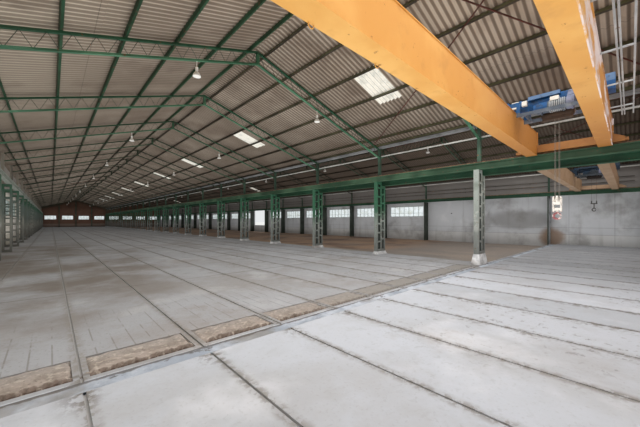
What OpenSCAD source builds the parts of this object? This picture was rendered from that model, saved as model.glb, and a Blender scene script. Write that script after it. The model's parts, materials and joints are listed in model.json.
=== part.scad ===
// Twin nave factory hall, 1:10 scale model, with two overhead travelling cranes.
// Sizes are millimetres of the model: one of them stands for ten in the hall.

/* [Hall] */
// Number of bays along the hall
bays = 23; // [3:1:30]
// Length of one bay, column to column
bay = 500; // [400:10:620]
// Width of one nave, column line to column line
nave_span = 1510; // [1300:10:1700]
// Height of the rafters' top over the floor at the column lines
eave_height = 565; // [540:5:640]
// Rise of the rafters' top from column line to ridge
roof_rise = 233; // [180:1:300]

/* [Floor] */
// Thickness of the main nave's floor slab
floor_thickness = 30; // [24:1:60]
// Drop of the second nave's floor under the first
floor_step = 20; // [5:1:20]
// Depth of the channel and the pockets across the floor
pocket_depth = 5; // [2:0.5:8]
// Width of a floor slab, joint to joint
slab_pitch = 133; // [100:1:200]
// Width and depth of the joints between the slabs
joint_width = 3; // [1:0.5:5]
// Width of the channel across the floor
channel_width = 25; // [15:1:35]
// Length of the pockets along the hall
pocket_length = 65; // [30:1:90]

/* [Walls] */
// Thickness of the outer walls
wall_thickness = 20; // [12:1:30]
// Height of the window sills over the floor
sill_height = 225; // [150:5:250]
// Height of the windows
window_height = 110; // [60:5:120]
// Width of a side window
window_width = 400; // [200:10:440]
// Width of an end window
end_window_width = 250; // [120:10:300]
// Thickness of the glass sheets
glass_thickness = 3; // [2:0.5:5]
// Bay of the right wall that stands open over a parapet, counted from the crane end
open_bay = 9; // [2:1:20]
// Number of blind bays in the right wall at the crane end
blind_bays = 3; // [0:1:8]
// Height of the parapet in the open bay
parapet_height = 100; // [60:5:140]

/* [Columns] */
// Depth of a battened column across the hall
column_depth = 74; // [68:1:80]
// Width of a column along the hall
column_width = 20; // [16:1:30]
// Depth of a column's outer chords
chord_depth = 9; // [7:0.5:12]
// Thickness of the chords' webs and the batten plates
plate_thickness = 2; // [1.5:0.1:3]
// Spacing of the batten plates
batten_pitch = 48; // [36:1:60]
// Height of a batten plate
batten_height = 9; // [6:1:15]
// Height of the concrete plinths
plinth_height = 15; // [10:1:30]
// Height of the tall plinth beside the channel
tall_plinth_height = 42; // [30:1:60]
// Spread of a plinth past its column
plinth_spread = 8; // [4:0.5:12]
// Width of the middle chord and of the roof post over it
post_width = 13; // [10:0.5:16]
// Width of the right wall's posts along the hall
wall_post_width = 9; // [8:0.5:16]

/* [Runways] */
// Height of the main nave's runway beams, top over the floor
runway_height = 415; // [380:1:430]
// Drop of the second nave's runway under the first
runway_drop = 20; // [0:1:30]
// Depth of a runway beam
beam_depth = 27; // [20:1:40]
// Flange width of a runway beam
beam_width = 20; // [16:1:22]
// Distance of a runway beam's middle from the column line
beam_offset = 27; // [25:1:30]
// Height of the crane rails
rail_height = 5; // [3:0.5:7]

/* [Roof] */
// Depth of a lattice rafter, upright
rafter_depth = 50; // [40:1:60]
// Thickness of a rafter's chords
rafter_chord = 6; // [4:0.5:9]
// Width of a rafter along the hall
rafter_width = 8; // [6:1:14]
// Distance of the highest whole purlin from the ridge line
purlin_start = 145; // [100:1:180]
// Pitch of the purlins across a slope
purlin_pitch = 130; // [100:1:160]
// Depth of a purlin
purlin_depth = 10; // [7:1:14]
// Thickness of the corrugated sheeting with its waves
sheet_thickness = 6; // [4:0.5:8]
// Overhang of the roof past the walls
roof_overhang = 30; // [10:1:50]
// Width of a rooflight along the hall
rooflight_width = 107; // [80:1:160]

/* [Cranes] */
// Girder distance of the main crane, middle to middle
girder_gauge = 189; // [170:1:240]
// Girder distance of the second crane, middle to middle
girder_gauge_2 = 186; // [165:1:240]
// Width of a box girder
girder_width = 30; // [24:1:40]
// Depth of a box girder
girder_depth = 80; // [50:1:86]
// How far the girders hang under the end trucks
girder_sink = 11; // [0:1:14]
// Height of the trolley's rails on the girders
trolley_rail = 3; // [2:0.5:5]
// Spacing of the arms that carry the cable rails
arm_pitch = 188; // [150:1:200]
// Height of an end truck
truck_height = 25; // [16:1:34]
// Diameter of an end truck's wheels
truck_wheel = 18; // [12:1:18]
// Length of an end truck
truck_length = 274; // [264:1:340]
// Distance of the parked main crane's middle from the near end frame
crane_park = 218; // [200:1:400]
// Distance of the parked second crane's middle from the near end frame
crane_park_2 = 233; // [200:1:400]
// Trolley of the main crane, distance from the ridge line
trolley_1_offset = 449; // [0:1:560]
// Trolley of the second crane, distance from the ridge line
trolley_2_offset = 335; // [0:1:560]
// Height of the main crane's hook block top over the floor
hook_1_height = 246; // [120:1:300]
// Height of the second crane's hook block top over the floor
hook_2_height = 300; // [120:1:330]

/* [Trolleys] */
// Length of a trolley's end carriages
carriage_length = 100; // [80:1:120]
// Diameter of the hoist's drum housing
housing_diameter = 33; // [24:1:36]
// Length of the hoist's drum housing
housing_length = 135; // [110:1:150]
// Diameter of the hoist motor
motor_diameter = 30; // [20:1:34]
// Length of the hoist motor
motor_length = 62; // [50:1:80]
// Diameter of the trolley's wheels
trolley_wheel = 14; // [10:1:18]
// Width of the main hook block along its sheave axle
block_width = 19; // [18:1:30]

/* [Hidden] */
f0 = floor_thickness;
hall_length = bays * bay;
half_length = hall_length / 2;
end_gap = 30;
inner_y = half_length + end_gap;
outer_y = inner_y + wall_thickness;
inner_x = nave_span + column_depth / 2;
outer_x = inner_x + wall_thickness;
slope = roof_rise / (nave_span / 2);
slope_angle = atan(slope);
beam_top = f0 + runway_height;
beam_bottom = beam_top - beam_depth;
main_ridge_x = -nave_span / 2;
side_ridge_x = nave_span / 2;
half_nave = nave_span / 2;
// Distances of the purlins from a ridge line: one beside it, the whole ones and one at the eave
purlin_spots = [30, for (d = [purlin_start:purlin_pitch:half_nave - 60]) d, half_nave - 30];
wheel_gap = 2;
truck_clear = 5;
tiny = 0.01;
// Clearance of a piece over the one that carries it
seat = 0.3;
sill_z = f0 + sill_height;
crane_y = [-half_length + crane_park, -half_length + crane_park_2];
gutter_z = f0 + eave_height + 14 * slope;
sheet_rise = sheet_thickness / cos(slope_angle);
// The main slab ends under the middle plinths
slab_edge = column_depth / 2 + plinth_spread;
slab_count = floor((slab_edge + inner_x) / slab_pitch);
channel_y = frame_y(1) - column_width / 2 - plinth_spread;
side_slab_y = channel_y + 8;
pocket_margin = 9;
// Distances of a rooflight's ends from the ridge line
light_d0 = 280;
light_d1 = 472;
main_lights = [for (i = [1:2:bays - 1]) i];
side_lights = [for (i = [8:8:bays - 1]) i];
// Lamps hang at every second frame, at these distances from a ridge
lamp_spots = [for (i = [2:2:bays - 1]) i];
main_lamp_offsets = [-218, 294];
side_lamp_offsets = [-205];
lamp_drop = 20;
// Pipes along the stub posts, the first on the rafters' bottom chords
pipe_1_diameter = 7;
pipe_2_diameter = 8;
pipe_1_z = f0 + eave_height - rafter_depth + rafter_chord + (post_width / 2 + pipe_1_diameter) * slope
  + pipe_1_diameter / 2 + 2 * seat;
pipe_2_z = pipe_1_z + 14;
// Sizes of each crane, main and second
crane_ridge = [main_ridge_x, side_ridge_x];
crane_gauge = [girder_gauge, girder_gauge_2];
crane_drop = [0, runway_drop];
trolley_x = [main_ridge_x + trolley_1_offset, side_ridge_x + trolley_2_offset];
hook_top = [f0 + hook_1_height, f0 + hook_2_height];
// Rope falls of each crane: half their spacing across and along the hall
falls_x = [[-7.4, 7.4], [0]];
falls_y = [[-4.2, 4.2], [-11, 11]];
rope_diameter = 1.2;
// How far the falls reach into each hook block, beside its sheaves or onto its sockets
rope_tail = [10, 0];
sheave_radius = falls_x[0][1] - rope_diameter / 2 - seat;
truck_reach = half_nave - beam_offset;
truck_inside = truck_reach - beam_width / 2 - truck_clear;
truck_outside = half_nave - post_width / 2 - truck_clear;
girder_lip = 1.5;
buffer_diameter = 12;
// Hoist parts, measured from the top of the girders
hoist_y = [for (y = crane_y) y - 13];
frame_plate = 4;
frame_x = carriage_length / 2 - 8;
carriage_width = 14;
carriage_height = 16;
carriage_gap = 5;
housing_z = 4 + housing_diameter / 2;
motor_z = -5;
drum_z = -24;
drum_diameter = 24;
guide_z = drum_z - drum_diameter / 2 - 2;
// Cross bars of the side frames: their top and bottom, and the width of the legs that carry them
bar_top = -13;
bar_bottom = -22;
leg_width = 8;

function frame_y(i) = -half_length + i * bay;
function roof_z(d) = f0 + eave_height + roof_rise - abs(d) * slope;
function skin_z(d) = roof_z(d) + purlin_depth / cos(slope_angle);
function sheet_z(d) = skin_z(d) + seat;
function joint_x(k) = slab_edge - k * slab_pitch;
function plinth(i) = i == 1 ? tall_plinth_height : plinth_height;
function rail_top(n) = beam_top - crane_drop[n] + rail_height;
function truck_bottom(n) = rail_top(n) + wheel_gap;
function girder_bottom(n) = truck_bottom(n) - girder_sink;
function girder_top(n) = girder_bottom(n) + girder_depth;

module box(x0, x1, y0, y1, z0, z1) {
  translate([x0, y0, z0]) cube([x1 - x0, y1 - y0, z1 - z0]);
}

// A prism along the hall: its outline is drawn across the hall, x to the right and z up
module along_hall(y0, y1) {
  translate([0, y1, 0]) rotate([90, 0, 0]) linear_extrude(y1 - y0) children();
}

// A prism across the hall: its outline is drawn along the hall, x to the far end and z up
module across_hall(x0, x1) {
  translate([x0, 0, 0]) rotate([90, 0, 90]) linear_extrude(x1 - x0) children();
}

// A bar along the hall, round, its middle at y
module round_along(x, y0, y1, z, diameter) {
  translate([x, y1, z]) rotate([90, 0, 0]) cylinder(d = diameter, h = y1 - y0, $fn = 32);
}

// Floors
module main_floor() color("#bdbab4") difference() {
  union() {
    box(-inner_x, slab_edge, -inner_y, inner_y, 0, f0);
    box(slab_edge + seat, inner_x, -inner_y, side_slab_y, 0, f0);
  }
  box(-inner_x - 1, inner_x + 1, channel_y - channel_width, channel_y, f0 - pocket_depth, f0 + 1);
  for (k = [1:slab_count])
    box(joint_x(k), joint_x(k) + joint_width, -inner_y - 1, inner_y + 1, f0 - joint_width, f0 + 1);
  for (k = [2:slab_count])
    box(joint_x(k) + pocket_margin, joint_x(k - 1) - pocket_margin + joint_width, channel_y + 10,
      channel_y + 10 + pocket_length, f0 - pocket_depth, f0 + 1);
}

module side_floor() color("#b08a63")
  box(slab_edge + seat, inner_x, side_slab_y + seat, inner_y, 0, f0 - floor_step);

// Side walls
module window_cuts(side, first, last) {
  for (i = [first:last])
    box(side * (inner_x + wall_thickness / 2) - wall_thickness, side * (inner_x + wall_thickness / 2) + wall_thickness,
      frame_y(i) + (bay - window_width) / 2, frame_y(i) + (bay + window_width) / 2,
      sill_z, sill_z + window_height);
}

// A length of side wall, its top bevelled to the roof sheets
module side_wall(side, y0, y1, z0) {
  along_hall(y0, y1) polygon([[side * inner_x, z0], [side * outer_x, z0],
    [side * outer_x, skin_z(outer_x - half_nave)], [side * inner_x, skin_z(inner_x - half_nave)]]);
}

module left_wall() color("#a9a79f") difference() {
  side_wall(-1, -inner_y, inner_y, 0);
  window_cuts(-1, 0, bays - 1);
}

module panes(side, first, last, skip) {
  x = side * (inner_x + wall_thickness / 2);
  for (i = [first:last]) if (i != skip)
    box(x - glass_thickness / 2, x + glass_thickness / 2, frame_y(i) + (bay - window_width) / 2,
      frame_y(i) + (bay + window_width) / 2, sill_z, sill_z + window_height);
}

module left_window_glass() color("#dfe9ee") panes(-1, 0, bays - 1, -1);

module right_wall_front() color("#9f9e9b") difference() {
  side_wall(1, -inner_y, frame_y(open_bay) + 10, 0);
  window_cuts(1, blind_bays, open_bay - 1);
}

module right_wall_back() color("#9f9e9b") difference() {
  side_wall(1, frame_y(open_bay + 1) - 10, inner_y, 0);
  window_cuts(1, open_bay + 1, bays - 1);
}

module open_bay_surround() color("#9f9e9b") {
  box(inner_x, outer_x, frame_y(open_bay) + 10, frame_y(open_bay + 1) - 10, 0, f0 + parapet_height);
  side_wall(1, frame_y(open_bay) + 10, frame_y(open_bay + 1) - 10, beam_bottom);
}

module right_window_glass() color("#dfe9ee") panes(1, blind_bays, bays - 1, open_bay);

// End walls
// One nave's end wall, drawn across the hall
module end_outline(side) {
  difference() {
    polygon([[0, 0], [side * outer_x, 0], [side * outer_x, skin_z(outer_x - half_nave)],
      [side * half_nave, skin_z(0)], [side * 20, skin_z(half_nave - 20)], [side * 20, gutter_z],
      [0, gutter_z]]);
    for (k = [0:3])
      translate([side * (k + 0.5) * nave_span / 4 - end_window_width / 2, sill_z])
        square([end_window_width, window_height]);
  }
}

module end_panes(y) {
  for (side = [-1, 1]) for (k = [0:3])
    translate([side * (k + 0.5) * nave_span / 4, y, sill_z + window_height / 2])
      cube([end_window_width, glass_thickness, window_height], center = true);
}

module far_wall_left() color("#9c6a4c") along_hall(inner_y, outer_y) end_outline(-1);
module far_wall_right() color("#9c6a4c") along_hall(inner_y, outer_y) end_outline(1);
module near_wall_left() color("#9c6a4c") along_hall(-outer_y, -inner_y) end_outline(-1);
module near_wall_right() color("#9c6a4c") along_hall(-outer_y, -inner_y) end_outline(1);

module end_window_glass() color("#dfe9ee") {
  end_panes(inner_y + wall_thickness / 2);
  end_panes(-inner_y - wall_thickness / 2);
}

// Columns
// The faces of a column: three chords and two ladders of battens, the second half a rung higher
module column_face(foot, left_top, right_top) {
  half = column_depth / 2;
  mid = post_width / 2;
  translate([-half, foot]) square([chord_depth, left_top - foot]);
  translate([half - chord_depth, foot]) square([chord_depth, right_top - foot]);
  translate([-mid, foot]) square([post_width, left_top - foot]);
  translate([-half, foot]) square([column_depth, 1.5 * batten_height]);
  translate([-half, left_top - 1.5 * batten_height]) square([half + mid, 1.5 * batten_height]);
  translate([-mid, right_top - 1.5 * batten_height]) square([half + mid, 1.5 * batten_height]);
  for (z = [foot + batten_pitch:batten_pitch:left_top - 2 * batten_height])
    translate([-half, z]) square([half, batten_height]);
  for (z = [foot + 1.3 * batten_pitch:batten_pitch:right_top - 2 * batten_height])
    translate([0, z]) square([half, batten_height]);
}

// A battened column: outer channels, a middle chord and a perforated face on each side
module battened_column(foot, left_top, right_top) {
  half = column_depth / 2;
  for (s = [-1, 1])
    along_hall(s * (column_width - plate_thickness) / 2 - plate_thickness / 2,
      s * (column_width - plate_thickness) / 2 + plate_thickness / 2)
      column_face(foot, left_top, right_top);
  box(-half, -half + plate_thickness, -column_width / 2, column_width / 2, foot, left_top);
  box(half - plate_thickness, half, -column_width / 2, column_width / 2, foot, right_top);
  box(-post_width / 2, post_width / 2, -column_width / 2 + tiny, column_width / 2 - tiny, foot, left_top);
}

module left_columns() color("#4d6b58")
  for (i = [0:bays]) translate([-nave_span, frame_y(i), 0]) battened_column(f0, beam_bottom, beam_bottom);

module middle_columns() color("#8fa399")
  for (i = [0:bays]) translate([0, frame_y(i), 0])
    battened_column(f0 + plinth(i), beam_bottom, beam_bottom - runway_drop);

// A frustum on a rectangle: half sizes at the foot and at the head
module frustum(foot_x, foot_y, head_x, head_y, height)
  polyhedron([for (level = [[foot_x, foot_y, 0], [head_x, head_y, height]]) for (c = [[-1, -1], [1, -1], [1, 1], [-1, 1]])
      [c[0] * level[0], c[1] * level[1], level[2]]],
    [[0, 1, 2, 3], [7, 6, 5, 4], [0, 4, 5, 1], [1, 5, 6, 2], [2, 6, 7, 3], [3, 7, 4, 0]]);

module column_plinths() color("#b9b6ac")
  for (i = [0:bays]) translate([0, frame_y(i), f0])
    frustum(column_depth / 2 + plinth_spread, column_width / 2 + plinth_spread, column_depth / 2 + 1,
      column_width / 2 + 1, plinth(i));

module right_wall_posts() color("#33503f")
  for (i = [0:bays])
    box(nave_span - column_depth / 2, nave_span + column_depth / 2, frame_y(i) - wall_post_width / 2,
      frame_y(i) + wall_post_width / 2, i == 0 ? f0 : f0 - floor_step, beam_bottom - runway_drop);

module end_wall_posts() color("#33503f")
  for (e = [-1, 1]) for (side = [-1, 1]) for (k = [1:3]) {
    foot = side > 0 && e > 0 ? f0 - floor_step : f0;
    head = roof_z(abs(k - 2) * nave_span / 4 + 8);
    box(side * k * nave_span / 4 - 8, side * k * nave_span / 4 + 8,
      e > 0 ? half_length + rafter_width / 2 : -inner_y, e > 0 ? inner_y : -half_length - rafter_width / 2,
      foot, head);
  }

// Stub posts from the column heads up to the rafters
module roof_posts() color("#3f5e4b")
  for (i = [0:bays]) for (x = [-nave_span, 0, nave_span])
    box(x - post_width / 2, x + post_width / 2, frame_y(i) - post_width / 2, frame_y(i) + post_width / 2,
      x > 0 ? beam_bottom - runway_drop : beam_bottom, f0 + eave_height);

// Runways
module for_each_runway() {
  for (n = [0, 1]) for (s = [-1, 1])
    translate([crane_ridge[n] + s * truck_reach, 0, -crane_drop[n]]) children();
}

module runway_beams() color("#2f5a43") for_each_runway()
  along_hall(-half_length + 4, half_length - 4) translate([0, beam_bottom]) {
    translate([-beam_width / 2, 0]) square([beam_width, 3]);
    translate([-1.5, 0]) square([3, beam_depth]);
    translate([-beam_width / 2, beam_depth - 3]) square([beam_width, 3]);
  }

module crane_rails() color("#5c5650") for_each_runway()
  box(-2.5, 2.5, -half_length + 4, half_length - 4, beam_top, beam_top + rail_height);

// Roof frames
// One lattice rafter, drawn from the stub post at 0 up to the ridge
module rafter_outline() {
  a = post_width / 2;
  b = half_nave;
  drop = rafter_depth;
  c = rafter_chord;
  z0 = f0 + eave_height;
  difference() {
    polygon([[a, z0 + a * slope], [b, z0 + b * slope], [b, z0 + b * slope - drop],
      [a, z0 + a * slope - drop]]);
    polygon([[a - 1, z0 + (a - 1) * slope - c], [b - c, z0 + (b - c) * slope - c],
      [b - c, z0 + (b - c) * slope - drop + c], [a - 1, z0 + (a - 1) * slope - drop + c]]);
  }
}

module rafters(x, side)
  for (i = [0:bays])
    translate([x, frame_y(i), 0]) rotate([90, 0, 0])
      linear_extrude(rafter_width, center = true)
        scale([side, 1]) rafter_outline();

module main_rafters_left() color("#4f8a6b") rafters(-nave_span, 1);
module main_rafters_right() color("#4f8a6b") rafters(0, -1);
module side_rafters_left() color("#4f8a6b") rafters(0, 1);
module side_rafters_right() color("#4f8a6b") rafters(nave_span, -1);

module purlins() color("#3a3a2c")
  for (ridge = [main_ridge_x, side_ridge_x]) for (side = [-1, 1]) for (d = purlin_spots)
    translate([ridge + side * d, 0, roof_z(d)])
      rotate([0, side * slope_angle, 0])
        translate([0, 0, purlin_depth / 2])
          cube([6, 2 * inner_y - 2, purlin_depth], center = true);

// Roof skin
function reach(outer) = outer ? outer_x - half_nave + roof_overhang : half_nave - 10;

module slope_outline(outer) {
  r = reach(outer);
  polygon([[0, sheet_z(0)], [r, sheet_z(r)], [r, sheet_z(r) + sheet_rise], [0, sheet_z(0) + sheet_rise]]);
}

module light_cuts(ridge, bay_list, z_grow) {
  for (i = bay_list)
    translate([0, frame_y(i) + bay / 2 + rooflight_width / 2 - 15, 0]) rotate([90, 0, 0])
      linear_extrude(rooflight_width)
        translate([ridge, 0]) polygon([
          [light_d0, sheet_z(light_d0) - z_grow], [light_d1, sheet_z(light_d1) - z_grow],
          [light_d1, sheet_z(light_d1) + sheet_rise + z_grow],
          [light_d0, sheet_z(light_d0) + sheet_rise + z_grow]]);
}

module main_roof_left() color("#8b8078") along_hall(-outer_y - 15, outer_y + 15)
  translate([main_ridge_x, 0]) scale([-1, 1]) slope_outline(true);

module main_roof_right() color("#8b8078") difference() {
  along_hall(-outer_y - 15, outer_y + 15) translate([main_ridge_x, 0]) slope_outline(false);
  light_cuts(main_ridge_x, main_lights, 3);
}

module side_roof_left() color("#8b8078") along_hall(-outer_y - 15, outer_y + 15)
  translate([side_ridge_x, 0]) scale([-1, 1]) slope_outline(false);

module side_roof_right() color("#8b8078") difference() {
  along_hall(-outer_y - 15, outer_y + 15) translate([side_ridge_x, 0]) slope_outline(true);
  light_cuts(side_ridge_x, side_lights, 3);
}

module rooflights() color("#f2f4f2") {
  light_cuts(main_ridge_x, main_lights, 0);
  light_cuts(side_ridge_x, side_lights, 0);
}

module ridge_caps() color("#7d736b")
  for (ridge = [main_ridge_x, side_ridge_x]) along_hall(-outer_y - 16, outer_y + 16)
    translate([ridge, sheet_z(0) + sheet_rise])
      polygon([[0, 0], [30, -30 * slope], [30, -30 * slope + 3], [0, 3], [-30, -30 * slope + 3], [-30, -30 * slope]]);

module valley_gutter() color("#8d9294") along_hall(-outer_y - 10, outer_y + 10) difference() {
  polygon([[-14, gutter_z], [14, gutter_z], [18, skin_z(half_nave - 14)], [-18, skin_z(half_nave - 14)]]);
  polygon([[-12, gutter_z + 2], [12, gutter_z + 2], [17, gutter_z + 20], [-17, gutter_z + 20]]);
}

// Fittings
module service_pipes() color("#b9bcbd") {
  round_along(post_width / 2 + seat + pipe_1_diameter / 2, -half_length + 20, half_length - 20, pipe_1_z,
    pipe_1_diameter);
  round_along(nave_span - post_width / 2 - seat - pipe_2_diameter / 2, -half_length + 20, half_length - 20,
    pipe_2_z, pipe_2_diameter);
}

// A pendant lamp under a rafter: rod, ballast housing, neck and bell shade
module lamp(ridge, offset, i) {
  top = roof_z(offset) - rafter_depth - seat;
  translate([ridge + offset, frame_y(i), top - lamp_drop]) {
    cylinder(d = 2, h = lamp_drop - abs(slope), $fn = 12);
    translate([0, 0, -9]) cylinder(d = 9, h = 10, $fn = 24);
    translate([0, 0, -28]) rotate_extrude($fn = 32)
      polygon([[0, 0], [12, 0], [11.4, 4], [9, 10], [5, 15], [3, 17], [3, 20], [0, 20]]);
  }
}

module pendant_lamps() color("#e9e8e2")
  for (i = lamp_spots) {
    for (offset = main_lamp_offsets) lamp(main_ridge_x, offset, i);
    for (offset = side_lamp_offsets) lamp(side_ridge_x, offset, i);
  }

// Cranes
// The two box girders of a crane, with thin flange lips, trolley rails and end plates
module girders(n) {
  z0 = girder_bottom(n);
  z1 = girder_top(n);
  plate_z = truck_bottom(n) + truck_height;
  for (s = [-1, 1]) {
    y = crane_y[n] + s * crane_gauge[n] / 2;
    across_hall(crane_ridge[n] - truck_inside, crane_ridge[n] + truck_inside) translate([y, 0]) {
      translate([-girder_width / 2, z0]) square([girder_width, girder_depth]);
      for (z = [z0, z1 - 1.5]) translate([-girder_width / 2 - girder_lip, z])
        square([girder_width + 2 * girder_lip, 1.5]);
      translate([-1.5, z1 - tiny]) square([3, trolley_rail + tiny]);
    }
    for (e = [-1, 1]) translate([crane_ridge[n] + e * (truck_inside + 1.5), y, (plate_z + z1 + 2) / 2])
      cube([3 + tiny, girder_width + 4 * girder_lip, z1 + 2 - plate_z], center = true);
  }
}

// The side of an end truck: full height between the girders, tapered down to its ends
module truck_side(n) {
  end = truck_length / 2;
  full = crane_gauge[n] / 2 + girder_width / 2 + 2 * girder_lip;
  polygon([[-end, 0], [end, 0], [end, buffer_diameter + 1], [full, truck_height], [-full, truck_height],
    [-end, buffer_diameter + 1]]);
}

// End trucks with a plain wheel near each end and a buffer on each end face
module end_trucks(n) {
  for (s = [-1, 1]) {
    inside = crane_ridge[n] + s * truck_inside;
    outside = crane_ridge[n] + s * truck_outside;
    middle = (inside + outside) / 2;
    across_hall(min(inside, outside), max(inside, outside)) translate([crane_y[n], truck_bottom(n)])
      truck_side(n);
    for (e = [-1, 1]) {
      translate([crane_ridge[n] + s * truck_reach, crane_y[n] + e * (truck_length / 2 - 22),
        rail_top(n) + truck_wheel / 2])
        rotate([0, 90, 0]) cylinder(d = truck_wheel, h = 7, center = true, $fn = 48);
      round_along(middle, crane_y[n] + e * (truck_length / 2 + 4) - 4, crane_y[n] + e * (truck_length / 2 + 4) + 4,
        truck_bottom(n) + buffer_diameter / 2 + 0.5, buffer_diameter);
    }
  }
}

// Arms on the near girder that carry a double cable rail and a single one
module cable_rail(n) {
  near = crane_y[n] - crane_gauge[n] / 2 - girder_width / 2;
  reach_x = 3.5 * arm_pitch;
  z = girder_top(n) - 3;
  for (k = [-3:3])
    box(crane_ridge[n] + k * arm_pitch - 1.5, crane_ridge[n] + k * arm_pitch + 1.5, near - 45, near, z - 3, z);
  for (y = [near - 22, near - 27, near - 44]) translate([crane_ridge[n], y, z - 1.5])
    rotate([0, 90, 0]) cylinder(d = 3, h = 2 * reach_x, center = true, $fn = 16);
}

// A cranked side frame: it leaves the carriages, drops between the girders and crosses under the hoist
module frame_outline(outer, inner) {
  low = carriage_gap + 2;
  high = carriage_gap + carriage_height - 2;
  polygon([[-outer, low], [-outer, high], [-inner + leg_width, high], [-inner + leg_width, bar_top],
    [inner - leg_width, bar_top], [inner - leg_width, high], [outer, high], [outer, low], [inner, low],
    [inner, bar_bottom], [-inner, bar_bottom], [-inner, low]]);
}

// Trolley: end carriages on four wheels, cranked side frames and the hoist slung between the girders
module trolley(n) {
  half_gauge = crane_gauge[n] / 2;
  top = girder_top(n);
  axle_z = trolley_rail + seat + trolley_wheel / 2;
  inner = half_gauge - girder_width / 2 - girder_lip - carriage_gap - 2;
  translate([trolley_x[n], crane_y[n], top]) {
    for (s = [-1, 1]) translate([0, s * half_gauge, 0]) {
      difference() {
        box(-carriage_length / 2, carriage_length / 2, -carriage_width / 2, carriage_width / 2,
          carriage_gap, carriage_gap + carriage_height);
        for (e = [-1, 1]) translate([e * (carriage_length / 2 - trolley_wheel), 0, 0])
          box(-trolley_wheel / 2 - 2, trolley_wheel / 2 + 2, -4, 4, 0, axle_z + trolley_wheel / 2 + 2);
      }
      for (e = [-1, 1]) translate([e * (carriage_length / 2 - trolley_wheel), 0, axle_z]) {
        rotate([90, 0, 0]) cylinder(d = trolley_wheel, h = 6, center = true, $fn = 32);
        rotate([90, 0, 0]) cylinder(d = 4, h = carriage_width - 2, center = true, $fn = 16);
      }
    }
    for (e = [-1, 1]) across_hall(e * frame_x - frame_plate / 2, e * frame_x + frame_plate / 2)
      frame_outline(half_gauge - 6, inner);
    hoist(half_gauge);
  }
}

// The hoist: drum housing, cable tray, gear case, motor, rope drum and rope guide
module hoist(half_gauge) {
  back = -housing_length / 2 + 12;
  front = housing_length / 2 + 12;
  lean = [-20 - 10, motor_z - housing_z];
  round_along(10, back, front, housing_z, housing_diameter);
  for (y = [back + 6, front - 10]) round_along(10, y, y + 4, housing_z, housing_diameter + 3);
  // Saddles under the housing, on cross members between the side frames
  for (y = [back + 25, front - 30]) {
    box(-frame_x, frame_x, y, y + frame_plate, bar_bottom, bar_top);
    box(0, 20, y, y + frame_plate, bar_top - 1, housing_z);
  }
  box(-16, -4, back + 35, front - 30, housing_z + 6, housing_z + 16);
  // Gear case round both shafts
  round_along(10, back + 5, back + 20, housing_z, housing_diameter + 1);
  round_along(-20, back + 5, back + 20, motor_z, motor_diameter + 3);
  translate([-5, back + 12.5, (housing_z + motor_z) / 2]) rotate([0, atan2(lean[0], lean[1]), 0])
    cube([motor_diameter, 15 - tiny, norm(lean)], center = true);
  round_along(-20, back + 20 - tiny, back + 20 + motor_length, motor_z, motor_diameter);
  round_along(-20, back + 20 + motor_length - tiny, back + 28 + motor_length, motor_z, motor_diameter - 5);
  // Rope drum between its hangers, with the guide that the ropes leave
  for (y = [-48, 16]) {
    box(-frame_x, frame_x, y, y + frame_plate, bar_bottom, bar_top);
    box(-9, 9, y, y + frame_plate, drum_z - 6, bar_top);
  }
  round_along(0, -45, 18, drum_z, drum_diameter);
  box(-10, 10, -45, 18, guide_z, drum_z - 6);
  // Control box beyond the near girder
  box(-20, 20, -half_gauge - 29, -half_gauge - 9, 5, 43);
  box(-12, 12, -half_gauge - 10, -half_gauge - carriage_width / 2 + tiny, 9, 17);
}

module ropes(n) {
  for (x = falls_x[n]) for (y = falls_y[n])
    translate([trolley_x[n] + x, hoist_y[n] + y, hook_top[n] - rope_tail[n]])
      cylinder(d = rope_diameter, h = girder_top(n) + guide_z - hook_top[n] + rope_tail[n], $fn = 12);
}

// A hook drawn in its own plane, its bowl round the origin and its tip towards the near end
module hook_outline(outer, bowl) {
  difference() {
    union() {
      translate([0.6, -0.4]) circle(r = outer, $fn = 48);
      translate([-3, 0]) square([6, outer + 4]);
    }
    circle(r = bowl, $fn = 48);
    rotate(24) translate([-outer - 2, 0]) square([outer + 2 - bowl * 0.4, bowl * 0.6]);
  }
}

// The main hook block: a yoke with rounded shoulders, two sheaves, two cheeks and a crosshead
module main_hook_block() {
  w = block_width;
  across_hall(-8.4, 8.4) difference() {
    union() {
      translate([-w / 2, -24]) square([w, 18]);
      translate([-w / 2 + 6, -24]) square([w - 12, 24]);
      for (s = [-1, 1]) translate([s * (w / 2 - 6), -6]) circle(r = 6, $fn = 32);
    }
    for (s = [-1, 1]) translate([s * falls_y[0][1] - 2.2, -16]) square([4.4, 17]);
  }
  for (s = [-1, 1]) translate([0, s * falls_y[0][1], -11])
    rotate([90, 0, 0]) cylinder(r = sheave_radius, h = 3.4, center = true, $fn = 48);
  translate([0, 0, -11]) rotate([90, 0, 0]) cylinder(d = 4, h = w - 2, center = true, $fn = 16);
  for (s = [-1, 1]) box(-6.5, 6.5, s * (w / 2 - 1.5) - 1.5, s * (w / 2 - 1.5) + 1.5, -44, -23);
  box(-6, 6, -w / 2 + 1, w / 2 - 1, -40, -33);
  translate([0, 0, -44]) cylinder(d = 6, h = 12, $fn = 24);
  translate([0, 0, -54.5]) across_hall(-3, 3) hook_outline(10, 5.5);
}

// The second hook block: two rope sockets on a thin traverse, with a small hook
module small_hook_block() {
  for (y = falls_y[1]) translate([0, y, -15]) cylinder(d = 6, h = 15, $fn = 24);
  box(-4, 4, falls_y[1][0] - 4, falls_y[1][1] + 4, -20, -14);
  translate([0, 0, -42]) cylinder(d = 5, h = 23, $fn = 24);
  translate([0, 0, -54]) across_hall(-2.5, 2.5) hook_outline(10.5, 6);
}

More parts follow.
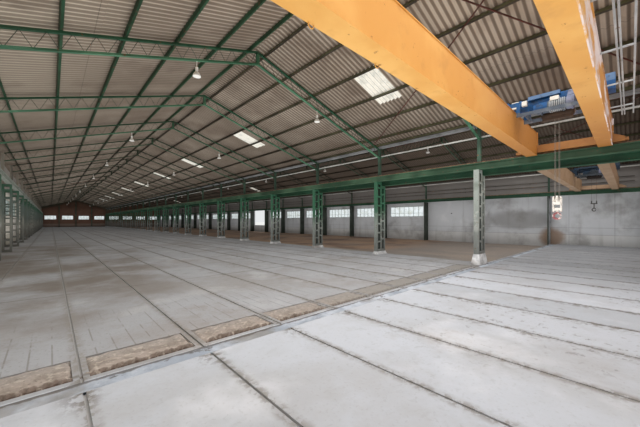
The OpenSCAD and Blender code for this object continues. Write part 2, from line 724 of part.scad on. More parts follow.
module crane_1_girders() color("#e5a23c") girders(0);
module crane_1_end_trucks() color("#e5a23c") end_trucks(0);
module crane_1_cable_rail() color("#9a9ea0") cable_rail(0);
module crane_1_trolley() color("#2c6a9c") trolley(0);
module crane_1_ropes() color("#77736c") ropes(0);
module crane_1_hook_block() color("#e8e4d8")
  translate([trolley_x[0], hoist_y[0], hook_top[0]]) main_hook_block();
module crane_2_girders() color("#c98d3a") girders(1);
module crane_2_end_trucks() color("#c98d3a") end_trucks(1);
module crane_2_trolley() color("#23455f") trolley(1);
module crane_2_ropes() color("#77736c") ropes(1);
module crane_2_hook_block() color("#4a4a48")
  translate([trolley_x[1], hoist_y[1], hook_top[1]]) small_hook_block();

main_floor();
side_floor();
left_wall();
left_window_glass();
right_wall_front();
right_wall_back();
open_bay_surround();
right_window_glass();
far_wall_left();
far_wall_right();
near_wall_left();
near_wall_right();
end_window_glass();
left_columns();
middle_columns();
column_plinths();
right_wall_posts();
end_wall_posts();
roof_posts();
runway_beams();
crane_rails();
main_rafters_left();
main_rafters_right();
side_rafters_left();
side_rafters_right();
purlins();
main_roof_left();
main_roof_right();
side_roof_left();
side_roof_right();
rooflights();
ridge_caps();
valley_gutter();
service_pipes();
pendant_lamps();
crane_1_girders();
crane_1_end_trucks();
crane_1_cable_rail();
crane_1_trolley();
crane_1_ropes();
crane_1_hook_block();
crane_2_girders();
crane_2_end_trucks();
crane_2_trolley();
crane_2_ropes();
crane_2_hook_block();
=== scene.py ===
# %% [markdown]
# # A crane hall seen from inside
# The part is a long factory hall with two naves, a 1:10 scale model in metres. Its solids come packed
# as a fixed frame. This lesson dresses them: it paints every surface, lays corrugated sheets on the
# roof, laces the rafters, fills the floor pockets with rubble and hangs ropes on the cranes.

# %% Load the frame and measure it
import itertools
import json
import math

import bpy
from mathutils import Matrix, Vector, noise

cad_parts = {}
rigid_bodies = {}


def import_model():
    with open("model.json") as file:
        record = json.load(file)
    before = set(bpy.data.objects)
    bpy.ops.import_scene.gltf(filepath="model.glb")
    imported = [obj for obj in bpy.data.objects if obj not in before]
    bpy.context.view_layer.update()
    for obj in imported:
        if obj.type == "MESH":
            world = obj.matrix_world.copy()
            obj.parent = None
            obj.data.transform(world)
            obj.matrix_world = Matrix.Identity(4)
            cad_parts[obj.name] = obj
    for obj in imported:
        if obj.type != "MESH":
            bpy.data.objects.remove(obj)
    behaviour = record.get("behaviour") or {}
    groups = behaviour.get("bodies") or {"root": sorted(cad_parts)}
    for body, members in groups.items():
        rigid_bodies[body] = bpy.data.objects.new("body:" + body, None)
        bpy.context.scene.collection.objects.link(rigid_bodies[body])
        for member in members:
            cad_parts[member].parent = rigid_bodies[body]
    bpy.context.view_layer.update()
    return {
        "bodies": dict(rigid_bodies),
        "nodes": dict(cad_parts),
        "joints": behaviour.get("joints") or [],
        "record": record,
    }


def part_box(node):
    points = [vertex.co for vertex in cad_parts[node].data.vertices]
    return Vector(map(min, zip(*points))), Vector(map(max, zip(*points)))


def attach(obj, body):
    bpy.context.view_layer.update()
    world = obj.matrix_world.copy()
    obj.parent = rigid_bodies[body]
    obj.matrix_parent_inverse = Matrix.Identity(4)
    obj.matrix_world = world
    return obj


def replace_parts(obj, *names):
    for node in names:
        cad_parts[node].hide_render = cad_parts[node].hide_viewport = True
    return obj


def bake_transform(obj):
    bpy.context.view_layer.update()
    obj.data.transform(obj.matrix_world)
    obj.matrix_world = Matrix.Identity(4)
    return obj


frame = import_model()
nodes = frame["nodes"]

# %% [markdown]
# The hall repeats one bay. Once the bay, the frames and the slope of the roof are known, every other
# piece can be placed by rule, so they are read from the solids here and named.

# %% Name the hall's own sizes
BAY = 0.5
FLOOR_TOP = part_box("main_floor")[1].z
RAIL_SETBACK = 0.004
rail_low, rail_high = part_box("crane_rails")
FRAME_0 = rail_low.y - RAIL_SETBACK
FRAME_COUNT = round((rail_high.y + RAIL_SETBACK - FRAME_0) / BAY) + 1
SLAB_PITCH = 0.133
SLAB_EDGE = 0.045
CHANNEL_END = FRAME_0 + BAY - 0.018
CHANNEL_START = CHANNEL_END - 0.025
POCKET_START = CHANNEL_END + 0.010
POCKET_END = POCKET_START + 0.065
POST_DEPTH = 0.013
wall_low, wall_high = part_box("right_wall_front")
post_low, post_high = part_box("roof_posts")
roof_low, roof_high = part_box("main_roof_right")
INNER_X = wall_low.x
OUTER_X = wall_high.x
NAVE = (post_high.x - post_low.x - POST_DEPTH) / 2
HALF_NAVE = NAVE / 2
RIDGES = (-HALF_NAVE, HALF_NAVE)
RAFTER_DEPTH = 0.050
CHORD = 0.006
EAVE_TOP = post_high.z
RIDGE_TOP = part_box("main_rafters_left")[1].z
SLOPE = (RIDGE_TOP - EAVE_TOP) / HALF_NAVE
PURLIN_DEPTH = 0.010
SHEET_GAP = 0.0003
SHEET_FOOT = SHEET_GAP + PURLIN_DEPTH * math.hypot(1, SLOPE)
ROOF_START = roof_low.y
ROOF_END = roof_high.y
NAVES = ("main", "side")
SLOPES = tuple((nave, hand, ridge, side) for nave, ridge in zip(NAVES, RIDGES)
               for hand, side in (("left", -1.0), ("right", 1.0)))


def frame_y(index):
    """Place of a frame along the hall."""
    return FRAME_0 + index * BAY


def rafter_top(distance):
    """Height of the rafters' top, by distance from the ridge."""
    return RIDGE_TOP - abs(distance) * SLOPE


print("frames", FRAME_COUNT, "nave", round(NAVE, 3), "slope", round(SLOPE, 4), "ridge", round(RIDGE_TOP, 4))

# %% [markdown]
# ## Camera
# The photograph was taken with a wide lens at eye height, level, from the corner of the near end. Its
# place was worked out from the vanishing points of the hall, so the camera needs only a place, a turn
# and a lens.

# %% Set the camera
CAMERA_PLACE = (-1.309, -5.680, 0.208)
CAMERA_YAW = 42.95
CAMERA_LENS = 16.26
CAMERA_SHIFT = 0.0117

camera_data = bpy.data.cameras.new("camera")
camera_data.lens = CAMERA_LENS
camera_data.sensor_width = 36
camera_data.shift_y = CAMERA_SHIFT
camera_data.clip_start = 0.005
camera_data.clip_end = 200
camera = bpy.data.objects.new("camera", camera_data)
camera.location = CAMERA_PLACE
camera.rotation_euler = (math.radians(90), 0, math.radians(-CAMERA_YAW))
bpy.context.scene.collection.objects.link(camera)
bpy.context.scene.camera = camera
bpy.context.scene.view_settings.view_transform = "Standard"
print("camera at", CAMERA_PLACE)

# %% [markdown]
# ## Nodes as expressions
# A finish is a sum of masks: stains, wear, dirt in the joints. Wiring Math nodes by hand hides the sum,
# so a small class wraps a socket and lets Python write it, as in 1 - mask * 0.5. Everything else comes
# from one method, node(). Colours go through Mix nodes, and one number or colour for the whole surface
# is set on the shader's own socket.

# %% Wrap sockets so that expressions add nodes
class Value:
    """A socket of a node tree, usable in Python expressions."""

    def __init__(self, graph, socket):
        self.graph = graph
        self.socket = socket

    def math(self, operation, first, second=0.0):
        return self.graph.node("ShaderNodeMath", {"operation": operation}, {0: first, 1: second})

    def __add__(self, other):
        return self.math("ADD", self, other)

    def __radd__(self, other):
        return self.math("ADD", other, self)

    def __sub__(self, other):
        return self.math("SUBTRACT", self, other)

    def __rsub__(self, other):
        return self.math("SUBTRACT", other, self)

    def __mul__(self, other):
        return self.math("MULTIPLY", self, other)

    def __rmul__(self, other):
        return self.math("MULTIPLY", other, self)

    def __truediv__(self, other):
        return self.math("DIVIDE", self, other)

    def __rtruediv__(self, other):
        return self.math("DIVIDE", other, self)

    def __mod__(self, other):
        return self.math("FLOORED_MODULO", self, other)

    def __abs__(self):
        return self.math("ABSOLUTE", self)

    def floor(self):
        return self.math("FLOOR", self)

    def above(self, other):
        return self.math("GREATER_THAN", self, other)

    def below(self, other):
        return self.math("LESS_THAN", self, other)

    def sine(self):
        return self.math("SINE", self)

    def cosine(self):
        return self.math("COSINE", self)

    def within(self, low, high):
        return self.math("MINIMUM", self.math("MAXIMUM", self, low), high)


print("values ready")

# %% [markdown]
# The same method then serves two kinds of tree, materials and shapes, so it sits in a class that both
# share. Colours are written as in a paint chart and turned to linear values when they reach a socket.

# %% Fill a tree
def linear(code):
    """A colour written as in a paint chart, turned to the linear values that shaders take."""
    parts = [int(code[i:i + 2], 16) / 255 for i in (1, 3, 5)]
    return tuple(c / 12.92 if c <= 0.04045 else ((c + 0.055) / 1.055) ** 2.4 for c in parts) + (1.0,)


class Graph:
    """A node tree, of a material or of a shape."""

    def __init__(self, tree):
        self.tree = tree

    def node(self, kind, settings=None, values=None, output=0):
        """Any node: its settings first, then the values or links of its sockets."""
        made = self.tree.nodes.new(kind)
        for key, setting in (settings or {}).items():
            setattr(made, key, setting)
        for key, value in (values or {}).items():
            self.feed(made.inputs[key], value)
        return Value(self, made.outputs[output])

    def feed(self, socket, value):
        """Link a value, or set a number or a colour's code on the socket itself."""
        if isinstance(value, Value):
            self.tree.links.new(value.socket, socket)
        else:
            socket.default_value = linear(value) if isinstance(value, str) else value

    def twin(self, value, output):
        """Another output of the node that a value comes from."""
        return Value(self, value.socket.node.outputs[output])

    def vector(self, *axes):
        return self.node("ShaderNodeCombineXYZ", None, dict(enumerate(axes)))

    def axes(self, vector):
        first = self.node("ShaderNodeSeparateXYZ", None, {0: vector})
        return first, self.twin(first, 1), self.twin(first, 2)


print("trees can be filled")

# %% [markdown]
# A material needs a few tools of its own: noise in object coordinates, lines that repeat with the
# hall's rhythm, soft spots, and coats, each a colour laid over what is there wherever its mask is 1.

# %% Wrap a material
class Finish(Graph):
    """One material: its nodes, its shader and the object coordinates that its patterns follow."""

    def __init__(self, name):
        self.material = bpy.data.materials.new(name)
        self.material.use_nodes = True
        super().__init__(self.material.node_tree)
        self.shader = self.tree.nodes["Principled BSDF"]
        self.place = self.node("ShaderNodeTexCoord", output="Object")
        self.x, self.y, self.z = self.axes(self.place)
        self.base = None

    def facing(self):
        """The three numbers of the way a face points."""
        return self.axes(self.node("ShaderNodeNewGeometry", output="Normal"))

    def noise(self, scale, detail=4.0, stretch=(1, 1, 1), shift=(0, 0, 0), rough=0.5):
        spot = self.node("ShaderNodeMapping", None, {
            "Vector": self.place, "Location": shift, "Scale": stretch})
        return self.node("ShaderNodeTexNoise", None, {
            "Vector": spot, "Scale": scale, "Detail": detail, "Roughness": rough})

    def random(self, *axes):
        """A number from 0 to 1, the same all over one cell of the given whole numbers."""
        point = self.vector(*axes)
        return self.node("ShaderNodeTexWhiteNoise", {"noise_dimensions": "3D"}, {"Vector": point}, "Value")

    def fade(self, value, low, high):
        """0 below low, 1 above high, and smooth between them."""
        return self.node("ShaderNodeMapRange", {"interpolation_type": "SMOOTHSTEP"}, {
            "Value": value, "From Min": low, "From Max": high})

    def patch(self, low, high, *size, **more):
        """Patches of noise: 1 where it is above high, 0 where it is below low."""
        return self.fade(self.noise(*size, **more), low, high)

    def near(self, axis, place, pitch, reach, soft):
        """1 on lines that repeat with a pitch along an axis, fading out past their reach."""
        away = abs((axis - place + pitch / 2) % pitch - pitch / 2)
        return 1 - self.fade(away, reach, reach + soft)

    def blot(self, axes, centre, size):
        """1 in the middle of a soft spot, 0 outside; two axes of the place, its centre and half sizes."""
        terms = [((axis - c) / r) for axis, c, r in zip(axes, centre, size)]
        return 1 - self.fade(terms[0] * terms[0] + terms[1] * terms[1], 0.2, 1.0)

    def mix(self, first, second, factor):
        """Two colours, the second where factor is 1."""
        return self.node("ShaderNodeMix", {"data_type": "RGBA"}, {0: factor, 6: first, 7: second}, 2)

    def coat(self, colour, mask):
        """Lay a colour over the base wherever the mask is 1."""
        self.base = self.mix(self.base, colour, mask)

    def paint(self, roughness, metallic=None, alpha=None):
        """Feed the shader with the base and what else varies."""
        for name, value in (("Base Color", self.base), ("Roughness", roughness), ("Metallic", metallic),
                            ("Alpha", alpha)):
            if value is not None:
                self.feed(self.shader.inputs[name], value)

    def glow(self, strength):
        """Let the base colour shine by itself."""
        self.feed(self.shader.inputs["Emission Color"], self.base)
        self.shader.inputs["Emission Strength"].default_value = strength

    def bump(self, height, strength, distance):
        lifted = self.node("ShaderNodeBump", None, {
            "Strength": strength, "Distance": distance, "Height": height})
        self.feed(self.shader.inputs["Normal"], lifted)


print("materials ready")

# %% [markdown]
# ## Light
# Inside a closed hall no studio lamp outside would reach the floor. Soft sheets of light hang unseen
# inside each nave. Daylight comes in at the near end, so the sheets are cut into zones along the hall,
# each weaker than the one before: those that face down light the floor, those that face up stand for
# its reflection.

# %% Hang the lamps
ZONES = (
    (-5.74, -5.00, 2.60, 1.30),
    (-5.00, -4.00, 0.92, 1.25),
    (-4.00, -2.40, 0.52, 1.10),
    (-2.40, 0.60, 0.34, 0.85),
    (0.60, 5.70, 0.26, 0.46),
)
NAVE_SHARE = {"main": 1.0, "side": 0.66}
END_LEVEL = {"main": 0.9, "side": 0.4}
SHEET_WIDTH = 1.40
DOWN_HEIGHT = 0.60
UP_HEIGHT = 0.036
END_PLACE = (-5.775, 0.30)
END_HEIGHT = 0.50


def light_sheet(name, place, turn, size, level):
    """A rectangle of soft light, its level given as the brightness of its surface."""
    data = bpy.data.lights.new(name, "AREA")
    data.shape = "RECTANGLE"
    data.size, data.size_y = size
    data.energy = level * size[0] * size[1] * math.pi
    lamp = bpy.data.objects.new(name, data)
    lamp.location = place
    lamp.rotation_euler = tuple(math.radians(a) for a in turn)
    lamp.visible_camera = False
    lamp.visible_glossy = False
    bpy.context.scene.collection.objects.link(lamp)


for nave, ridge in zip(NAVES, RIDGES):
    share = NAVE_SHARE[nave]
    for number, (start, end, down, up) in enumerate(ZONES):
        middle = (start + end) / 2
        size = (SHEET_WIDTH, end - start)
        light_sheet("%s_down_%d" % (nave, number), (ridge, middle, DOWN_HEIGHT), (0, 0, 0), size,
                    down * share)
        light_sheet("%s_up_%d" % (nave, number), (ridge, middle, UP_HEIGHT), (180, 0, 0), size,
                    up * share)
    light_sheet(nave + "_end", (ridge,) + END_PLACE, (90, 0, 0), (SHEET_WIDTH, END_HEIGHT),
                END_LEVEL[nave])
print("lamps hung")

# %% [markdown]
# Outside, the hall stands in a plain studio: an even pale world, a soft sun and a pale floor. The floor
# is staged, because it is no part of the object.

# %% Light the studio and lay its floor
WORLD_LEVEL = 0.85
SUN_LEVEL = 1.2

world = bpy.data.worlds.new("studio")
world.use_nodes = True
bpy.context.scene.world = world
background = world.node_tree.nodes["Background"]
background.inputs["Color"].default_value = (0.93, 0.95, 0.97, 1)
background.inputs["Strength"].default_value = WORLD_LEVEL

sun_data = bpy.data.lights.new("soft_sun", "SUN")
sun_data.energy = SUN_LEVEL
sun_data.angle = math.radians(20)
sun = bpy.data.objects.new("soft_sun", sun_data)
sun.rotation_euler = (math.radians(38), 0, math.radians(140))
bpy.context.scene.collection.objects.link(sun)

ground_mesh = bpy.data.meshes.new("studio_floor")
reach = 40.0
ground_mesh.from_pydata([(-reach, -reach, 0), (reach, -reach, 0), (reach, reach, 0), (-reach, reach, 0)],
                        [], [(0, 1, 2, 3)])
ground = bpy.data.objects.new("studio_floor", ground_mesh)
bpy.context.scene.collection.objects.link(ground)
pale = Finish("studio_floor")
pale.base = "#e4e4e0"
pale.paint(roughness=0.9)
ground_mesh.materials.append(pale.material)
print("studio ready")

# %% [markdown]
# ## Shapes
# A few pieces are put together from tubes, boxes and grids. Each helper adds corners and faces to plain
# lists, and build() turns them into one object with its place in its mesh, on the body that carries it.
# Where a flat face meets a smooth one, their shared edge is marked sharp, or the light would bend over it.

# %% Put shapes together by hand
def place_piece(name, mesh, body):
    """An object for a finished mesh, its flat faces with crisp edges, on the body that carries it."""
    flat = {edge for face in mesh.polygons if not face.use_smooth for edge in face.edge_keys}
    mesh.edges.foreach_set("use_edge_sharp", [edge.key in flat for edge in mesh.edges])
    piece = bpy.data.objects.new(name, mesh)
    bpy.context.scene.collection.objects.link(piece)
    if body:
        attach(piece, body)
    print(name, len(mesh.polygons), "faces")
    return piece


class Shape:
    """Corners and faces of a piece while it is put together."""

    def __init__(self):
        self.corners = []
        self.faces = []
        self.smooth = []

    def add(self, corners, faces, smooth):
        first = len(self.corners)
        self.corners += [tuple(c) for c in corners]
        self.faces += [tuple(first + i for i in face) for face in faces]
        self.smooth += [smooth] * len(faces)

    def take(self, mesh):
        """Add a mesh that a tree has grown."""
        first = len(self.corners)
        self.corners += [tuple(v.co) for v in mesh.vertices]
        self.faces += [tuple(first + i for i in face.vertices) for face in mesh.polygons]
        self.smooth += [face.use_smooth for face in mesh.polygons]
        bpy.data.meshes.remove(mesh)

    def box(self, middle, size):
        """A box by its middle and its size."""
        corners = [[m + s * w / 2 for m, w, s in zip(middle, size, signs)]
                   for signs in itertools.product((-1, 1), repeat=3)]
        sides = [(0, 1, 3, 2), (4, 6, 7, 5), (0, 4, 5, 1), (2, 3, 7, 6), (0, 2, 6, 4), (1, 5, 7, 3)]
        self.add(corners, sides, False)

    def tube(self, points, radius, sides=6):
        """A round tube through points, closed at both ends."""
        points = [Vector(p) for p in points]
        rings = []
        side = (points[1] - points[0]).orthogonal().normalized()
        for k, point in enumerate(points):
            before = points[max(k - 1, 0)]
            after = points[min(k + 1, len(points) - 1)]
            along = (after - before).normalized()
            side = (side - along * side.dot(along)).normalized()
            other = along.cross(side)
            rings.append([point + (side * math.cos(a) + other * math.sin(a)) * radius
                          for a in (2 * math.pi * i / sides for i in range(sides))])
        walls = [(k + i, k + (i + 1) % sides, k + sides + (i + 1) % sides, k + sides + i)
                 for k in range(0, (len(points) - 1) * sides, sides) for i in range(sides)]
        self.add([c for ring in rings for c in ring], walls, True)
        self.add(rings[0], [tuple(reversed(range(sides)))], False)
        self.add(rings[-1], [tuple(range(sides))], False)

    def build(self, name, body, finish):
        mesh = bpy.data.meshes.new(name)
        mesh.from_pydata(self.corners, [], self.faces)
        mesh.polygons.foreach_set("use_smooth", self.smooth)
        mesh.materials.append(finish.material)
        mesh.update()
        return place_piece(name, mesh, body)


print("shapes ready")

# %% [markdown]
# ## Trees
# What repeats is grown by Geometry Nodes, written with the same expressions. A tree names its sizes as
# inputs, and it runs on a mesh of loose points, one for each place where its shape is wanted. It ends
# in Realize Instances and Set Material. The result is kept as a plain mesh, and the modifier goes.

# %% Wrap a geometry tree
INPUT_KINDS = {
    float: "NodeSocketFloat",
    int: "NodeSocketInt",
    tuple: "NodeSocketVector",
    type(None): "NodeSocketMaterial",
}


class Growth(Graph):
    """A Geometry Nodes tree, with a named input for each size."""

    def __init__(self, name, **sizes):
        super().__init__(bpy.data.node_groups.new(name, "GeometryNodeTree"))
        self.sizes = sizes
        self.ids = {}
        face = self.tree.interface
        face.new_socket(name="places", in_out="INPUT", socket_type="NodeSocketGeometry")
        for key, size in dict(sizes, paint=None).items():
            made = face.new_socket(name=key, in_out="INPUT", socket_type=INPUT_KINDS[type(size)])
            made.default_value = size
            self.ids[key] = made.identifier
        face.new_socket(name="geometry", in_out="OUTPUT", socket_type="NodeSocketGeometry")
        source = self.tree.nodes.new("NodeGroupInput")
        self.given = {socket.name: Value(self, socket) for socket in source.outputs}

    def smooth(self, shape, selection=True, smooth=True):
        return self.node("GeometryNodeSetShadeSmooth", {"domain": "FACE"}, {
            "Geometry": shape, "Selection": selection, "Shade Smooth": smooth})

    def block(self, size, middle):
        """A box by its size and its middle."""
        cube = self.node("GeometryNodeMeshCube", None, {"Size": self.vector(*size)})
        return self.node("GeometryNodeTransform", None, {
            "Geometry": cube, "Translation": self.vector(*middle)})

    def rod(self, radius, length, sides):
        """A round rod along z with sharp ends."""
        rod = self.node("GeometryNodeMeshCylinder", {"fill_type": "NGON"}, {
            "Vertices": sides, "Radius": radius, "Depth": length})
        return self.smooth(rod, self.twin(rod, "Side"))

    def row(self, count, step, start=(0.0, 0.0, 0.0)):
        """Points in a line."""
        return self.node("GeometryNodeMeshLine", None, {
            "Count": count, "Offset": step, "Start Location": start})

    def repeat(self, shape, points, **more):
        return self.node("GeometryNodeInstanceOnPoints", None, dict(more, Points=points, Instance=shape))

    def join(self, *shapes):
        joined = self.node("GeometryNodeJoinGeometry")
        for shape in shapes:
            self.feed(joined.socket.node.inputs[0], shape)
        return joined

    def close(self, shape):
        """End the tree: real geometry, because the export drops instances, and its paint."""
        real = self.node("GeometryNodeRealizeInstances", None, {0: shape})
        coated = self.node("GeometryNodeSetMaterial", None, {
            "Geometry": real, "Material": self.given["paint"]})
        self.feed(self.tree.nodes.new("NodeGroupOutput").inputs[0], coated)
        return self

    def mesh(self, name, finish, places=(), **sizes):
        """Run the tree on the places and keep the result as a plain mesh, without empty slots."""
        seed_mesh = bpy.data.meshes.new(name + "_seed")
        seed_mesh.from_pydata(places, [], [])
        seed = bpy.data.objects.new(name + "_seed", seed_mesh)
        bpy.context.scene.collection.objects.link(seed)
        modifier = seed.modifiers.new("grow", "NODES")
        modifier.node_group = self.tree
        for key, size in {**self.sizes, **sizes, "paint": finish.material}.items():
            modifier[self.ids[key]] = size
        depsgraph = bpy.context.evaluated_depsgraph_get()
        mesh = bpy.data.meshes.new_from_object(seed.evaluated_get(depsgraph), depsgraph=depsgraph)
        mesh.name = name
        while len(mesh.materials) > 1:
            mesh.materials.pop(index=0)
        bpy.data.objects.remove(seed)
        bpy.data.meshes.remove(seed_mesh)
        return mesh


print("trees ready")

# %% [markdown]
# ## Finishes
# Each finish starts from the colour in the photograph and adds what age did to it: stains that follow
# the panels, rust that breaks through paint, dust on what faces up. Some also carry painted light and
# shade. One function makes each family of finishes.

# %% Mix the concrete of the floor
ONCE = 20.0


def concrete_slabs():
    """Cast panels: their own tones, dirt along the joints, a pale channel, stains and clods."""
    f = Finish("slab_concrete")
    panel = ((f.x - SLAB_EDGE) / SLAB_PITCH).floor()
    beyond = f.y.above(CHANNEL_END)
    f.base = f.mix("#a8adb4", "#b8bdc5", f.random(panel, 3.0, 2.0))
    cloud = f.noise(3.0, 6.0, rough=0.65)
    f.coat("#8e8983", f.fade(cloud, 0.46, 0.68) * (0.35 + beyond * 0.20))
    mottle = f.noise(22.0, 6.0, shift=(2, 9, 0), rough=0.68)
    f.coat("#8b8681", f.fade(mottle, 0.50, 0.66) * (0.12 + beyond * 0.28))
    f.coat("#d0d3d8", f.patch(0.52, 0.72, 9.0, 5.0, shift=(3, 1, 0)) * 0.5)
    rust = f.patch(0.58, 0.70, 3.2, 8.0, shift=(7, 2, 0), rough=0.7)
    f.coat("#86705c", rust * (0.25 + beyond * 0.12))
    f.coat("#76736f", f.fade(f.y, CHANNEL_END, CHANNEL_END + 0.004) * 0.50)
    # Darker towards the right, on the near side of the channel.
    f.coat("#838486", f.fade(f.x, -0.55, 0.25) * f.y.below(CHANNEL_START) * 0.62)
    damp = f.blot((f.x + f.noise(2.0, 5.0) * 0.5 - 0.25, f.y), (-1.30, -3.9), (0.42, 1.5))
    f.coat("#665b50", damp * f.fade(cloud, 0.35, 0.60) * 0.75)
    ribbed = f.y.above(POCKET_END) * (1 - f.fade(f.y, -5.08, -4.92))
    ribs = f.near(f.x, 0.0, SLAB_PITCH / 6, 0.0003, 0.0011) * ribbed
    broken = f.patch(0.44, 0.54, 26.0, 5.0, shift=(1, 8, 0)) * (1 - f.fade(f.x, -0.95, -0.70))
    f.coat("#66615a", ribs * broken * 0.6)
    grime = f.noise(40.0, 4.0) * 0.006
    joints = f.near(f.x + grime - 0.003, SLAB_EDGE + 0.0015, SLAB_PITCH, 0.0018, 0.011)
    speckled = f.patch(0.44, 0.56, 110.0, 5.0, shift=(6, 6, 0), rough=0.65)
    f.coat("#7d7974", joints * (0.25 + speckled * 0.55))
    swept = f.near(f.x + grime * 2, SLAB_EDGE, SLAB_PITCH, 0.002, 0.022) * f.fade(f.x, -1.10, -0.60)
    f.coat("#6a655e", swept * f.fade(mottle, 0.46, 0.56) * speckled * 0.7)
    lip = f.near(f.y, CHANNEL_START, ONCE, 0.01, 0.04)
    crossing = f.near(f.x + grime, SLAB_EDGE, SLAB_PITCH, 0.004, 0.022) * lip
    f.coat("#5d574f", crossing * speckled * 0.55)
    across = f.near(f.y + grime - 0.003, FRAME_0, BAY, 0.0005, 0.006) * f.patch(0.45, 0.55, 4.0, 2.0)
    f.coat("#5f5951", across * 0.6 * beyond)
    # Painted light: the sunk joints are painted paler than the slab, against the shade of their walls. In
    # the channel the pale blue is also the mortar's own colour.
    sunk = 1 - f.fade(f.z, FLOOR_TOP - 0.0012, FLOOR_TOP - 0.0004)
    channel = f.y.above(CHANNEL_START - 0.001) * f.y.below(CHANNEL_END + 0.001)
    f.coat("#a5a4a3", sunk * (1 - channel) * 0.85)
    f.coat("#b3bcc6", sunk * channel * 0.75)
    stains = f.patch(0.54, 0.68, 2.3, 7.0, shift=(11, 4, 0), rough=0.7)
    f.coat("#7c7167", stains * 0.34)
    grit = f.noise(260.0, 3.0)
    f.coat("#77736c", f.fade(grit, 0.58, 0.70) * (0.15 + beyond * 0.25))
    clods = f.patch(0.62, 0.65, 85.0, 3.0, shift=(3, 7, 0), rough=0.6)
    strewn = f.patch(0.44, 0.56, 3.0, 3.0, shift=(8, 8, 0)) * (0.06 + f.fade(f.x, -1.05, -0.55) * 0.6)
    f.coat("#5d554b", clods * strewn)
    f.paint(roughness=0.72 + cloud * 0.25)
    f.bump(grit * 0.5 + cloud, 0.5, 0.0012)
    return f


print("floor concrete mixed")

# %% [markdown]
# The channel across the floor was smeared with a paler, bluer mortar that has cracked along its length.
# One noise stretched along the channel makes the cracks, which is cheaper than cutting them.

# %% Mix the mortar of the channel
def channel_mortar():
    """Pale blue grey mortar smeared along the channel, dark in its cracks, with a painted shadow along its
    far edge.
    """
    f = Finish("channel_mortar")
    tone = f.patch(0.38, 0.62, 14.0, 6.0, rough=0.65)
    f.base = f.mix("#8c95a0", "#b0b7c1", tone)
    f.coat("#77736c", f.patch(0.52, 0.62, 7.0, 5.0, shift=(3, 8, 1)) * 0.7)
    cracks = f.patch(0.60, 0.66, 60.0, 5.0, stretch=(0.35, 1, 1), rough=0.7)
    f.coat("#4b463f", cracks * 0.8)
    # Painted shadow: a dark ragged band along the far edge, where the lip shades the mortar.
    ragged = f.y + f.noise(45.0, 4.0, shift=(5, 1, 2)) * 0.008
    f.coat("#514b45", f.fade(ragged, CHANNEL_END + 0.0005, CHANNEL_END + 0.0020) * 0.75)
    f.paint(roughness=0.8 + tone * 0.15)
    f.bump(f.noise(160.0, 4.0), 0.6, 0.0010)
    return f


print("mortar mixed")

# %% [markdown]
# The long walls have a coat of cement render: two dado lines ruled along them, a darker band under the
# roof, water runs and patches. Both walls share one recipe, and the right wall adds what is its own:
# panel seams near the cranes, a soot cloud, rust and a knocked hole.

# %% Coat the long walls
DADO_LINES = (0.076, 0.127)
DARK_BAND_START = 0.372
DARK_BAND_END = 0.400


def render_coat(name, upper, lower):
    """Cement render on a wall: dado lines, a darker band under the roof, runs of water and patches."""
    f = Finish(name)
    height = f.z - FLOOR_TOP
    f.base = f.mix(lower, upper, f.fade(height, DADO_LINES[0] - 0.003, DADO_LINES[0] + 0.003))
    bay_tone = f.random(((f.y - FRAME_0) / BAY).floor(), 5.0, 1.0)
    f.coat("#8f9093", bay_tone * 0.35)
    for line in DADO_LINES:
        f.coat("#64625f", f.near(height, line, ONCE, 0.0004, 0.0012) * 0.7)
    patches = f.noise(4.5, 6.0, rough=0.62)
    f.coat("#75736f", f.fade(patches, 0.48, 0.70) * 0.6)
    runs = f.noise(16.0, 4.0, stretch=(1, 1, 0.08))
    f.coat("#6d6862", f.fade(runs, 0.54, 0.72) * 0.4)
    f.coat("#bfc1c2", f.patch(0.56, 0.70, 8.0, 4.0, shift=(5, 5, 1)) * 0.5)
    # Darker in a band under the roof.
    f.coat("#7d7771", f.fade(height, DARK_BAND_START, DARK_BAND_END) * 0.75)
    return f, height


def rub_down(f):
    """The fine grain that both walls share."""
    grain = f.noise(300.0, 2.0)
    f.paint(roughness=0.82 + grain * 0.15)
    f.bump(grain, 0.4, 0.0010)
    return f


def left_wall_coat():
    """The left wall, greener and darker."""
    f, height = render_coat("left_render", "#c6c0b3", "#b6af9f")
    return rub_down(f)


def right_wall_coat():
    """The right wall: panel joints near the cranes, a soot cloud, rust by a post and a knocked hole."""
    f, height = render_coat("right_render", "#b2b4b7", "#bcbcbb")
    seams = f.near(f.y, -5.364, 0.2425, 0.0004, 0.0010) * f.y.below(frame_y(1)) * height.below(DARK_BAND_START)
    f.coat("#4f4d4a", seams * 0.7)
    ragged_y = f.y + f.noise(12.0, 4.0) * 0.06 - 0.03
    ragged_height = height + f.noise(12.0, 4.0, shift=(1, 2, 3)) * 0.06 - 0.03
    place = (ragged_y, ragged_height)
    inner = f.x.below(INNER_X + 0.004)
    f.coat("#57544f", f.blot(place, (-5.04, 0.190), (0.30, 0.100)) * inner * 0.55)
    f.coat("#7d6046", f.blot(place, (-5.262, 0.045), (0.095, 0.100)) * inner * 0.8)
    # Darker still on the inner face, in the band under the roof.
    f.coat("#59534c", f.fade(height, DARK_BAND_START, DARK_BAND_END) * inner * 0.45)
    # Painted shade: a near-black spot stands for the shaded inside of the knocked hole.
    f.coat("#1f1d1b", f.blot((f.y, height), (-4.492, 0.252), (0.009, 0.006)) * inner)
    return rub_down(f)


print("render mixed")

# %% [markdown]
# The side nave has no slab, only packed sand: a fine grit for the bump, pale tracks along the hall and
# a dusty part near the cranes.

